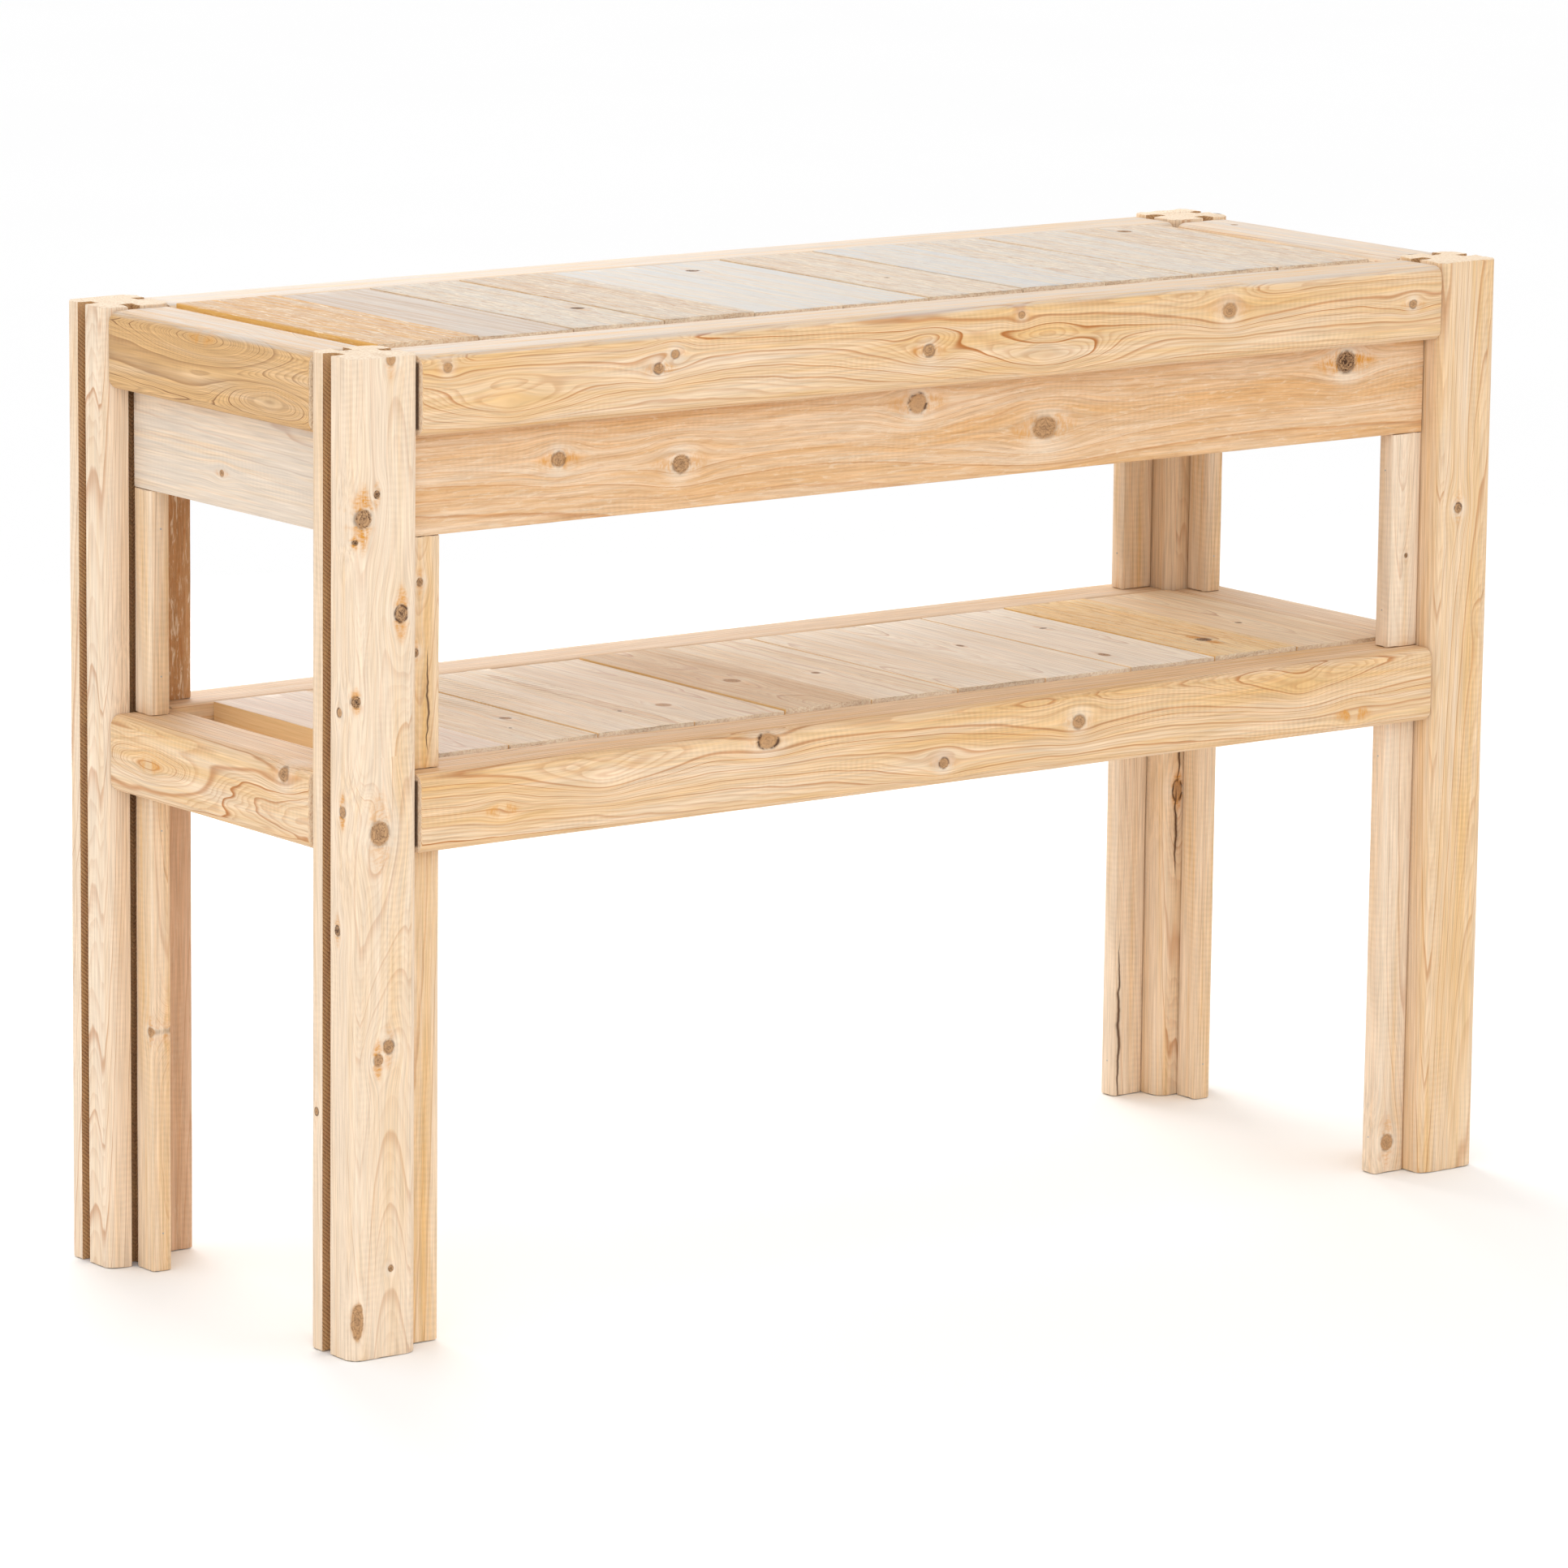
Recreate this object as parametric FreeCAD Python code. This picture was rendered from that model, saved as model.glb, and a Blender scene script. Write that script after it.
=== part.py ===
# Potting bench in unfinished cedar. Millimetres, +Z up.
# Origin: on the floor, under the middle of the bench. +X runs along the bench to the right of
# somebody who stands in front of it, and the front faces -Y.
import FreeCAD, Part
import os

V = FreeCAD.Vector

# ---- driving dimensions -------------------------------------------------------------------
LENGTH = 1480.0              # over the outer faces of the posts, along X
DEPTH = 528.0                # over the outer faces of the posts, along Y
HEIGHT = 1000.0              # floor to the tops of the posts

TIMBER = 80.0                # square timber of the posts and rails
POST_ROUND = 14.0            # rounded corners of the posts
RAIL_ROUND = 12.0            # rounded edges of the rails

GROOVE_WIDTH = 14.0          # groove sawn down three sides of each post
GROOVE_DEPTH = 16.0
GROOVE_FROM_BACK = 27.0      # back face of the post to the groove in its left and right sides
GROOVE_FROM_END = 27.0       # outer end face of the post to the groove in its inner side
TONGUE_SLACK = 0.5           # room on each side of a rail's tongue in its groove
TONGUE_END_ROOM = 1.0        # between a tongue's end and the bottom of its groove

POST_STANDS_PROUD = 3.0      # post top above the worktop rails
SHELF_RAIL_BOTTOM = 503.0    # floor to the underside of the shelf rails
END_RAIL_INSET = 2.0         # outer face of an end rail, in from the posts' outer faces
RAIL_END_ROOM = 1.5          # between a rail's shoulder and its post, so that the tongue seats first

BOARD = 23.0                 # thickness of the aprons and cleats
APRON_HEIGHT = 102.0
LONG_INSET = 27.0            # outer face of the posts to a long apron or a cleat in line with it
END_INSET = 32.0             # the same for a short apron at an end and its cleats
APRON_END_ROOM = 0.8         # between an apron's end and its post
LONG_CLEAT_WIDTH = 42.0      # how far a cleat reaches along a long rail from its post
END_CLEAT_WIDTH = 34.0       # how far a cleat reaches along an end rail from its post
CLEAT_ROUND = 4.0            # eased upright edges of a cleat
ARRIS = 1.0                  # sharp edge taken off sawn boards

DECK_BOARD_THICK = 22.0
DECK_GAP = 0.8               # between two boards
DECK_END_ROOM = 1.0          # between a board's end and the rail's inner face
TOP_DECK_LEFT_GAP = 1.0      # left end rail to the first worktop board
SHELF_DECK_LEFT_GAP = 45.0   # left end rail to the first shelf board
TOP_DECK_RISE = 1.0          # worktop boards above the rail tops
SHELF_DECK_RISE = 1.0        # shelf boards above the rail tops

# Boards from left to right. Sawn boards differ a little in width and thickness, so that some
# edges stand above their neighbours.
TOP_DECK_WIDTHS = (121.0, 114.0, 111.0, 112.0, 112.0, 110.0, 123.0, 110.0, 116.0, 116.0, 129.0)
SHELF_DECK_WIDTHS = (115.0, 109.0, 120.0, 114.0, 111.0, 113.0, 116.0, 115.0, 115.0, 114.0, 121.0)
TOP_DECK_EXTRA = (1.5, 0.0, 0.8, 1.6, 0.3, 0.0, 0.9, 1.7, 0.5, 0.9, 0.4)
SHELF_DECK_EXTRA = (0.4, 0.0, 0.8, 0.0, 1.6, 0.6, 0.9, 0.3, 0.8, 1.6, 0.3)

LEDGER_HEIGHT = 35.0
LEDGER_THICK = 22.0
LEDGER_END_ROOM = 1.0        # between a ledger's end and the end rail

SCREW_LENGTH = 45.0
SCREW_SHANK = 4.0            # diameter
SCREW_HEAD = 8.0             # diameter of the countersunk head
SCREW_HEAD_DEPTH = 3.2
SCREW_TIP = 6.0              # length of the point
SCREW_FROM_EDGE = 25.0       # screw to the long edge of a deck board
LEDGER_SCREWS = 6            # along each ledger, into its rail
BRAD_LENGTH = 65.0           # long enough to pass the groove behind a cleat
BRAD = 1.8                   # diameter
BRAD_FROM_END = 40.0         # brad to the end of its cleat
APRON_BRAD_LENGTH = 40.0
APRON_BRAD_DROP = 16.0       # below the top edge of the apron, on its inner face
APRON_BRAD_SLANT = 2.0       # rise of a brad for each millimetre that it goes outwards
APRON_BRADS_LONG = 5
APRON_BRADS_SHORT = 2

CUT_PAST = 1.0               # a cutting solid runs past the faces that it opens
PARALLEL = 0.99              # share of an edge's length along an axis that counts as parallel to it

# ---- worked out ---------------------------------------------------------------------------
HALF_X = LENGTH / 2
HALF_Y = DEPTH / 2
INNER_X = HALF_X - TIMBER            # inner faces of the posts, along X
INNER_Y = HALF_Y - TIMBER            # inner faces of the posts and of the long rails
END_RAIL_OUTER = HALF_X - END_RAIL_INSET
END_RAIL_INNER = END_RAIL_OUTER - TIMBER
TOP_RAIL_TOP = HEIGHT - POST_STANDS_PROUD
TOP_RAIL_BOTTOM = TOP_RAIL_TOP - TIMBER
SHELF_RAIL_TOP = SHELF_RAIL_BOTTOM + TIMBER
APRON_BOTTOM = TOP_RAIL_BOTTOM - APRON_HEIGHT
TONGUE_THICK = GROOVE_WIDTH - 2 * TONGUE_SLACK
TONGUE_LENGTH = GROOVE_DEPTH - TONGUE_END_ROOM
SIDES = (("front", -1), ("back", 1))
ENDS = (("left", -1), ("right", 1))


# ---- helpers ------------------------------------------------------------------------------
def save(name, shape):
    """Write one sub-part to its own STEP file."""
    shape.exportStep(os.path.join("parts", name + ".step"))


def block(x0, x1, y0, y1, z0, z1):
    """A box between two corners, given in any order."""
    low = V(min(x0, x1), min(y0, y1), min(z0, z1))
    return Part.makeBox(abs(x1 - x0), abs(y1 - y0), abs(z1 - z0), low)


def long_edges(shape, axis):
    """The straight edges of a box that run along one axis ('x', 'y' or 'z')."""
    found = []
    for edge in shape.Edges:
        run = edge.Vertexes[-1].Point - edge.Vertexes[0].Point
        if abs(getattr(run, axis)) > PARALLEL * run.Length:
            found.append(edge)
    return found


def rounded_bar(x0, x1, y0, y1, z0, z1, axis, radius):
    """A bar whose four edges along one axis are rounded."""
    bar = block(x0, x1, y0, y1, z0, z1)
    return bar.makeFillet(radius, long_edges(bar, axis))


def eased_board(x0, x1, y0, y1, z0, z1, axis):
    """A sawn board with its long sharp edges just taken off."""
    board = block(x0, x1, y0, y1, z0, z1)
    return board.makeChamfer(ARRIS, long_edges(board, axis))


def spread(low, high, count):
    """Places that divide a run evenly, half a step in from both ends."""
    step = (high - low) / count
    return [low + step * (i + 0.5) for i in range(count)]


def mirrored(side, a, b):
    """The same distances from the middle, on the side that is asked for."""
    return side * a, side * b


# ---- posts --------------------------------------------------------------------------------
def side_groove():
    """Front and back faces, along Y from the post's own back face, of the side grooves."""
    return GROOVE_FROM_BACK, GROOVE_FROM_BACK + GROOVE_WIDTH


def make_post(end, side):
    """One leg post, with grooves down its left, right and inner faces."""
    x0, x1 = sorted(mirrored(end, INNER_X, HALF_X))
    y0, y1 = sorted(mirrored(side, INNER_Y, HALF_Y))
    post = rounded_bar(x0, x1, y0, y1, 0, HEIGHT, "z", POST_ROUND)
    near, far = side_groove()
    low, high = -CUT_PAST, HEIGHT + CUT_PAST
    for face, inward in ((x0, 1), (x1, -1)):
        outside = face - inward * CUT_PAST
        post = post.cut(block(outside, face + inward * GROOVE_DEPTH, y1 - near, y1 - far, low, high))
    slot_outer = end * (HALF_X - GROOVE_FROM_END)
    slot_inner = slot_outer - end * GROOVE_WIDTH
    outside = side * (INNER_Y - CUT_PAST)
    bottom = side * (INNER_Y + GROOVE_DEPTH)
    return post.cut(block(slot_inner, slot_outer, outside, bottom, low, high))


# ---- rails --------------------------------------------------------------------------------
def make_long_rail(side, z0):
    """A front or back rail, with a tongue at each end in the grooves of the posts."""
    y0, y1 = sorted(mirrored(side, INNER_Y, HALF_Y))
    shoulder = INNER_X - RAIL_END_ROOM
    rail = rounded_bar(-shoulder, shoulder, y0, y1, z0, z0 + TIMBER, "x", RAIL_ROUND)
    near, far = side_groove()
    reach = INNER_X + TONGUE_LENGTH
    tongue = block(-reach, reach, y1 - near - TONGUE_SLACK, y1 - far + TONGUE_SLACK,
                   z0 + RAIL_ROUND, z0 + TIMBER - RAIL_ROUND)
    return rail.fuse(tongue).removeSplitter()


def make_end_rail(end, z0):
    """A left or right rail, with a tongue at each end in the grooves of the posts."""
    x0, x1 = sorted(mirrored(end, END_RAIL_INNER, END_RAIL_OUTER))
    shoulder = INNER_Y - RAIL_END_ROOM
    rail = rounded_bar(x0, x1, -shoulder, shoulder, z0, z0 + TIMBER, "y", RAIL_ROUND)
    reach = INNER_Y + TONGUE_LENGTH
    tongue_outer = end * (HALF_X - GROOVE_FROM_END - TONGUE_SLACK)
    tongue = block(tongue_outer, tongue_outer - end * TONGUE_THICK, -reach, reach,
                   z0 + RAIL_ROUND, z0 + TIMBER - RAIL_ROUND)
    return rail.fuse(tongue).removeSplitter()


# ---- aprons and cleats --------------------------------------------------------------------
def make_long_apron(side):
    """The board under a front or back top rail."""
    y0, y1 = mirrored(side, HALF_Y - LONG_INSET, HALF_Y - LONG_INSET - BOARD)
    reach = INNER_X - APRON_END_ROOM
    return eased_board(-reach, reach, y0, y1, APRON_BOTTOM, TOP_RAIL_BOTTOM, "x")


def make_end_apron(end):
    """The board under a left or right top rail."""
    x0, x1 = mirrored(end, HALF_X - END_INSET, HALF_X - END_INSET - BOARD)
    reach = INNER_Y - APRON_END_ROOM
    return eased_board(x0, x1, -reach, reach, APRON_BOTTOM, TOP_RAIL_BOTTOM, "y")


def make_cleat_along_x(end, side, z0, z1):
    """A cleat on the side of a post, in line with the front or back apron."""
    x0, x1 = mirrored(end, INNER_X, INNER_X - LONG_CLEAT_WIDTH)
    y0, y1 = mirrored(side, HALF_Y - LONG_INSET, HALF_Y - LONG_INSET - BOARD)
    return rounded_bar(x0, x1, y0, y1, z0, z1, "z", CLEAT_ROUND)


def make_cleat_along_y(end, side, z0, z1):
    """A cleat on the inner face of a post, in line with the left or right apron."""
    x0, x1 = mirrored(end, HALF_X - END_INSET, HALF_X - END_INSET - BOARD)
    y0, y1 = mirrored(side, INNER_Y, INNER_Y - END_CLEAT_WIDTH)
    return rounded_bar(x0, x1, y0, y1, z0, z1, "z", CLEAT_ROUND)


# ---- decks --------------------------------------------------------------------------------
def board_edges(left_gap, widths):
    """Left and right edges, along X, of every board in a deck."""
    edges = []
    left = -END_RAIL_INNER + left_gap
    for width in widths:
        edges.append((left, left + width))
        left += width + DECK_GAP
    return edges


def make_deck_board(edges, underside, extra):
    """One deck board, front to back between the long rails."""
    reach = INNER_Y - DECK_END_ROOM
    return eased_board(edges[0], edges[1], -reach, reach, underside,
                       underside + DECK_BOARD_THICK + extra, "y")


def make_ledger(side, top):
    """The strip on a long rail's inner face that carries the ends of the boards."""
    y0, y1 = mirrored(side, INNER_Y, INNER_Y - LEDGER_THICK)
    reach = END_RAIL_INNER - LEDGER_END_ROOM
    return eased_board(-reach, reach, y0, y1, top - LEDGER_HEIGHT, top, "x")


# ---- fasteners ----------------------------------------------------------------------------
def make_screw(head, direction):
    """A countersunk wood screw, from the middle of its head along a direction."""
    profile = [
        V(0, 0, 0),
        V(SCREW_HEAD / 2, 0, 0),
        V(SCREW_SHANK / 2, 0, SCREW_HEAD_DEPTH),
        V(SCREW_SHANK / 2, 0, SCREW_LENGTH - SCREW_TIP),
        V(0, 0, SCREW_LENGTH),
        V(0, 0, 0),
    ]
    screw = Part.Face(Part.makePolygon(profile)).revolve(V(0, 0, 0), V(0, 0, 1), 360)
    turn = FreeCAD.Rotation(V(0, 0, 1), direction)
    return screw.transformGeometry(FreeCAD.Placement(head, turn).toMatrix())


def deck_screws(boards, underside):
    """Two screws up through the ledger at each end of each board."""
    screws = []
    for left, right in boards:
        for x in (left + SCREW_FROM_EDGE, right - SCREW_FROM_EDGE):
            for _, side in SIDES:
                y = side * (INNER_Y - LEDGER_THICK / 2)
                screws.append(make_screw(V(x, y, underside - LEDGER_HEIGHT), V(0, 0, 1)))
    return screws


def ledger_screws(underside):
    """Screws through each ledger into its rail."""
    screws = []
    for x in spread(-INNER_X, INNER_X, LEDGER_SCREWS):
        for _, side in SIDES:
            start = V(x, side * (INNER_Y - LEDGER_THICK), underside - LEDGER_HEIGHT / 2)
            screws.append(make_screw(start, V(0, side, 0)))
    return screws


def cleat_brads(spans):
    """Two brads through each cleat into its post."""
    brads = []
    for z0, z1 in spans:
        for z in (z0 + BRAD_FROM_END, z1 - BRAD_FROM_END):
            for _, end in ENDS:
                for _, side in SIDES:
                    middle = LONG_INSET + BOARD / 2
                    start = V(end * (INNER_X - LONG_CLEAT_WIDTH), side * (HALF_Y - middle), z)
                    brads.append(Part.makeCylinder(BRAD / 2, BRAD_LENGTH, start, V(end, 0, 0)))
                    middle = END_INSET + BOARD / 2
                    start = V(end * (HALF_X - middle), side * (INNER_Y - END_CLEAT_WIDTH), z)
                    brads.append(Part.makeCylinder(BRAD / 2, BRAD_LENGTH, start, V(0, side, 0)))
    return brads


def apron_brads():
    """Brads driven at a slant through each apron, up into the rail above it."""
    brads = []
    z = TOP_RAIL_BOTTOM - APRON_BRAD_DROP
    inner = LONG_INSET + BOARD
    for x in spread(-INNER_X, INNER_X, APRON_BRADS_LONG):
        for _, side in SIDES:
            start = V(x, side * (HALF_Y - inner), z)
            slant = V(0, side, APRON_BRAD_SLANT)
            brads.append(Part.makeCylinder(BRAD / 2, APRON_BRAD_LENGTH, start, slant))
    inner = END_INSET + BOARD
    for y in spread(-INNER_Y, INNER_Y, APRON_BRADS_SHORT):
        for _, end in ENDS:
            start = V(end * (HALF_X - inner), y, z)
            slant = V(end, 0, APRON_BRAD_SLANT)
            brads.append(Part.makeCylinder(BRAD / 2, APRON_BRAD_LENGTH, start, slant))
    return brads


# ---- the whole bench ----------------------------------------------------------------------
def main():
    os.makedirs("parts", exist_ok=True)
    cleat_spans = (("lower", 0.0, SHELF_RAIL_BOTTOM), ("upper", SHELF_RAIL_TOP, APRON_BOTTOM))
    top_underside = TOP_RAIL_TOP + TOP_DECK_RISE - DECK_BOARD_THICK
    shelf_underside = SHELF_RAIL_TOP + SHELF_DECK_RISE - DECK_BOARD_THICK

    for side_name, side in SIDES:
        for end_name, end in ENDS:
            corner = side_name + "_" + end_name
            save("post_" + corner, make_post(end, side))
            for level, z0, z1 in cleat_spans:
                save("cleat_" + level + "_" + corner + "_x", make_cleat_along_x(end, side, z0, z1))
                save("cleat_" + level + "_" + corner + "_y", make_cleat_along_y(end, side, z0, z1))

    for side_name, side in SIDES:
        save("top_rail_" + side_name, make_long_rail(side, TOP_RAIL_BOTTOM))
        save("shelf_rail_" + side_name, make_long_rail(side, SHELF_RAIL_BOTTOM))
        save("apron_" + side_name, make_long_apron(side))
        save("top_ledger_" + side_name, make_ledger(side, top_underside))
        save("shelf_ledger_" + side_name, make_ledger(side, shelf_underside))

    for end_name, end in ENDS:
        save("top_rail_" + end_name, make_end_rail(end, TOP_RAIL_BOTTOM))
        save("shelf_rail_" + end_name, make_end_rail(end, SHELF_RAIL_BOTTOM))
        save("apron_" + end_name, make_end_apron(end))

    top_boards = board_edges(TOP_DECK_LEFT_GAP, TOP_DECK_WIDTHS)
    shelf_boards = board_edges(SHELF_DECK_LEFT_GAP, SHELF_DECK_WIDTHS)
    decks = (
        ("top_board", top_boards, top_underside, TOP_DECK_EXTRA),
        ("shelf_board", shelf_boards, shelf_underside, SHELF_DECK_EXTRA),
    )
    screws = []
    for name, boards, underside, extras in decks:
        for i, edges in enumerate(boards):
            save("%s_%02d" % (name, i + 1), make_deck_board(edges, underside, extras[i]))
        screws += deck_screws(boards, underside) + ledger_screws(underside)
    save("wood_screws", Part.makeCompound(screws))

    brads = cleat_brads([(z0, z1) for _, z0, z1 in cleat_spans]) + apron_brads()
    save("brads", Part.makeCompound(brads))


main()
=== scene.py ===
import math
import zlib

import bmesh
import bpy
import numpy as np
from bpy.props import FloatProperty, FloatVectorProperty, PointerProperty
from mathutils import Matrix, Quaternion, Vector


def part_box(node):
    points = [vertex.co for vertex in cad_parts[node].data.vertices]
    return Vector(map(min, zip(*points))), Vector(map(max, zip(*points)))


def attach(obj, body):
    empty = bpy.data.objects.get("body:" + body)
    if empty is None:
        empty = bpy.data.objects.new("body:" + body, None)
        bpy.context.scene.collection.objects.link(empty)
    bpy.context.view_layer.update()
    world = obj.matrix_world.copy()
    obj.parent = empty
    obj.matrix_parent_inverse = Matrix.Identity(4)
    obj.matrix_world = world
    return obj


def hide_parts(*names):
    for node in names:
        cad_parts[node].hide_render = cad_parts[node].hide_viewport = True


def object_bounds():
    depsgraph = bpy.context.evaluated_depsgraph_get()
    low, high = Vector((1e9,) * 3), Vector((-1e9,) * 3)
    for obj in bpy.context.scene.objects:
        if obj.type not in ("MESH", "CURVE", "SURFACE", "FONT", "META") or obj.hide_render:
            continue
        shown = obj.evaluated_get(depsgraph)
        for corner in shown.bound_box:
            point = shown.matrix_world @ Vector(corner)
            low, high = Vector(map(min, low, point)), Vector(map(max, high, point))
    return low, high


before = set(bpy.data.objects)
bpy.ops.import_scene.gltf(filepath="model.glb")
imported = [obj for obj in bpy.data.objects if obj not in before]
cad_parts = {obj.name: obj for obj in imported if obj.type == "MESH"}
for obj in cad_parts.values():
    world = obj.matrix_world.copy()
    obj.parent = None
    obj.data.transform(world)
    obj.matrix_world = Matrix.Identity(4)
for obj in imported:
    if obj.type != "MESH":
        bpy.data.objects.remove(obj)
cad_low, cad_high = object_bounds()

bl_info = {
    "name": "Cedar potting bench",
    "version": (1, 0, 0),
    "blender": (4, 5, 0),
    "location": "3D View > Sidebar > Potting bench",
    "description": "Builds an unfinished cedar potting bench piece by piece around its CAD frame",
    "category": "Object",
}

MM = 0.001
CEDAR_RELIEF, GROOVE_RELIEF, METAL_RELIEF, FLOOR_RELIEF = 0.0009, 0.0014, 0.0001, 0.0002     # metres
SHARP_EDGE = math.radians(34)
WORN_LIP = 0.0012          # how far the wear at a timber's end reaches along it
TONGUE_CROWN = 0.02        # the share of a rail's own shape that its tongue keeps
WAVES, WAVE_ACROSS = 6, 0.16         # how many waves a planed face has, and their length across it
FLOOR_RADIUS, FLOOR_SIDES, FLOOR_DROP = 40.0, 64, 0.0005
SENSOR_MM, FURTHEST = 36.0, 200.0
AIM = Vector((0.0, 0.0, 0.5))        # what the lights point at
SAW_BANDS, SAW_TEETH = 900.0, 1500.0          # radians to a metre, on rough faces and in the grooves
BLADE_BEND = 2.2           # how much the saw's bands bow, for each metre across
KNOT_RINGS = 19.0          # radians from a knot's heart to its rim
CRACK_WANDER, CRACK_DEPTH = 0.012, (0.02, 0.03)
SHOULDER_SHADE_EDGE = 0.0315, 0.0345           # half the width of the painted shade in the middle of a rail's shoulder, where it sits in its post
RING_DRIFT, RING_RIPPLE = 0.36, 0.10          # shares of a timber's wobble, slow and quick
AXES = {"x": (0, 1, 2), "y": (1, 0, 2), "z": (2, 0, 1)}      # along, across, deep


def paint(red, green, blue):
    """A screen colour from 0 to 255 as the linear colour that a shader takes."""
    def linear(value):
        value /= 255
        return value / 12.92 if value <= 0.04045 else ((value + 0.055) / 1.055) ** 2.4
    return linear(red), linear(green), linear(blue)


def length(name, description, default):
    """A size in metres that a user may change."""
    return FloatProperty(name=name, description=description, default=default, min=0.0,
                         unit="LENGTH", subtype="DISTANCE", precision=4)


def colour(name, description, *rgb):
    """A colour that a user may change."""
    return FloatVectorProperty(name=name, description=description, default=paint(*rgb),
                               subtype="COLOR", size=3, min=0.0, max=1.0)


class BenchSizes(bpy.types.PropertyGroup):
    post_round: length("Post rounding", "Radius of the posts' rounded corners", 0.014)
    rail_round: length("Rail rounding", "Radius of the rails' rounded edges", 0.012)
    groove_width: length("Groove width", "Width of the grooves down the posts", 0.014)
    groove_depth: length("Groove depth", "Depth of the grooves down the posts", 0.016)
    groove_inset: length("Groove inset", "Post face to the near side of a groove", 0.027)
    tongue_slack: length("Tongue slack", "Room on each side of a rail's tongue", 0.0005)
    tongue_reach: length("Tongue reach", "How far a rail's tongue stands out from its shoulder", 0.0165)
    cleat_round: length("Cleat rounding", "Radius of the cleats' eased edges", 0.004)
    board_arris: length("Board arris", "Radius of the boards' sawn edges", 0.0012)
    ragged_end: length("Ragged ends", "How far torn fibres set back a sawn end", 0.0009)
    hand_planed: length("Planing wave", "How far the planed faces dip below flat", 0.0005)
    section_step: length("Mesh step across", "Largest mesh step round a section", 0.008)
    run_step: length("Mesh step along", "Largest mesh step along a timber", 0.014)


class BenchColours(bpy.types.PropertyGroup):
    pale: colour("Pale wood", "Sapwood of the posts", 233, 212, 187)
    honey: colour("Honey wood", "Heartwood of the rails", 222, 179, 118)
    line: colour("Growth lines", "Late wood of each growth ring", 176, 108, 46)
    # This grey is each board's own dry bloom. It is also painted sheen: the cool reflection on upward
    # faces, painted into their colour.
    grey: colour("Grey bloom and sheen", "Cool bloom on sawn boards", 196, 194, 191)
    halo: colour("Resin glow", "Orange wood round a knot", 212, 146, 58)
    # Painted light: the boards' side faces, in the gaps between them, are tinted with this amber for
    # the light that comes through the gaps.
    amber: colour("Sunlit edge", "Warm sawn edges of the boards", 240, 192, 106)
    knot: colour("Knot", "Wood inside a knot", 196, 148, 98)
    bark: colour("Bark ring", "Dark ring and cracks of a knot", 84, 54, 32)
    groove: colour("Groove wall", "Rough wood inside the grooves", 190, 146, 104)
    cut: colour("Cut end", "Fresh crosscut wood", 242, 224, 198)
    zinc: colour("Zinc", "Plated screws", 200, 198, 188)
    steel: colour("Bright steel", "Wire brads", 176, 176, 178)
    floor: colour("Floor", "Studio floor", 250, 250, 250)


class BenchStage(bpy.types.PropertyGroup):
    camera_place: FloatVectorProperty(
        name="Camera place", description="Where the camera stands", subtype="TRANSLATION",
        unit="LENGTH", default=(-5.0405, -6.6738, 2.0745))
    camera_turn: FloatProperty(
        name="Camera azimuth", description="Direction round the bench, 0 from the front",
        subtype="ANGLE", unit="ROTATION", default=math.radians(-36.98))
    camera_pitch: FloatProperty(
        name="Camera elevation", description="Height of the camera as an angle",
        subtype="ANGLE", unit="ROTATION", default=math.radians(10.916))
    camera_roll: FloatProperty(
        name="Camera roll", description="Tilt of the camera about its own line of sight",
        subtype="ANGLE", unit="ROTATION", default=math.radians(0.66))
    lens: FloatProperty(
        name="Lens", description="Focal length on a 36 mm sensor", unit="CAMERA", default=184.93)
    sky: FloatProperty(
        name="Room light", description="Brightness of the white room", default=1.04, min=0.0)
    key_power: FloatProperty(
        name="Key light", description="Power of the large soft light", unit="POWER", default=50.0)
    back_power: FloatProperty(
        name="Back light", description="Power of the low soft light behind the bench", unit="POWER",
        default=85.0)


# ---- node trees ---------------------------------------------------------------------------
class Value:
    """A number in a shader tree. Each sum made with it adds one math node."""

    def __init__(self, build, socket):
        self.build = build
        self.socket = socket

    def __add__(self, other):
        return self.build.math("ADD", self, other)

    def __sub__(self, other):
        return self.build.math("SUBTRACT", self, other)

    def __mul__(self, other):
        return self.build.math("MULTIPLY", self, other)

    def __truediv__(self, other):
        return self.build.math("DIVIDE", self, other)

    def __pow__(self, other):
        return self.build.math("POWER", self, other)

    def __abs__(self):
        return self.build.math("ABSOLUTE", self)

    def times(self, factor, plus):
        """The value times a factor, plus a base, as one node."""
        return self.build.math("MULTIPLY_ADD", self, factor, plus)


class Sockets:
    """A node's sockets as values, found by name or by number."""

    def __init__(self, build, sockets):
        self.build = build
        self.sockets = sockets

    def __getitem__(self, key):
        return Value(self.build, self.sockets[key])


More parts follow.
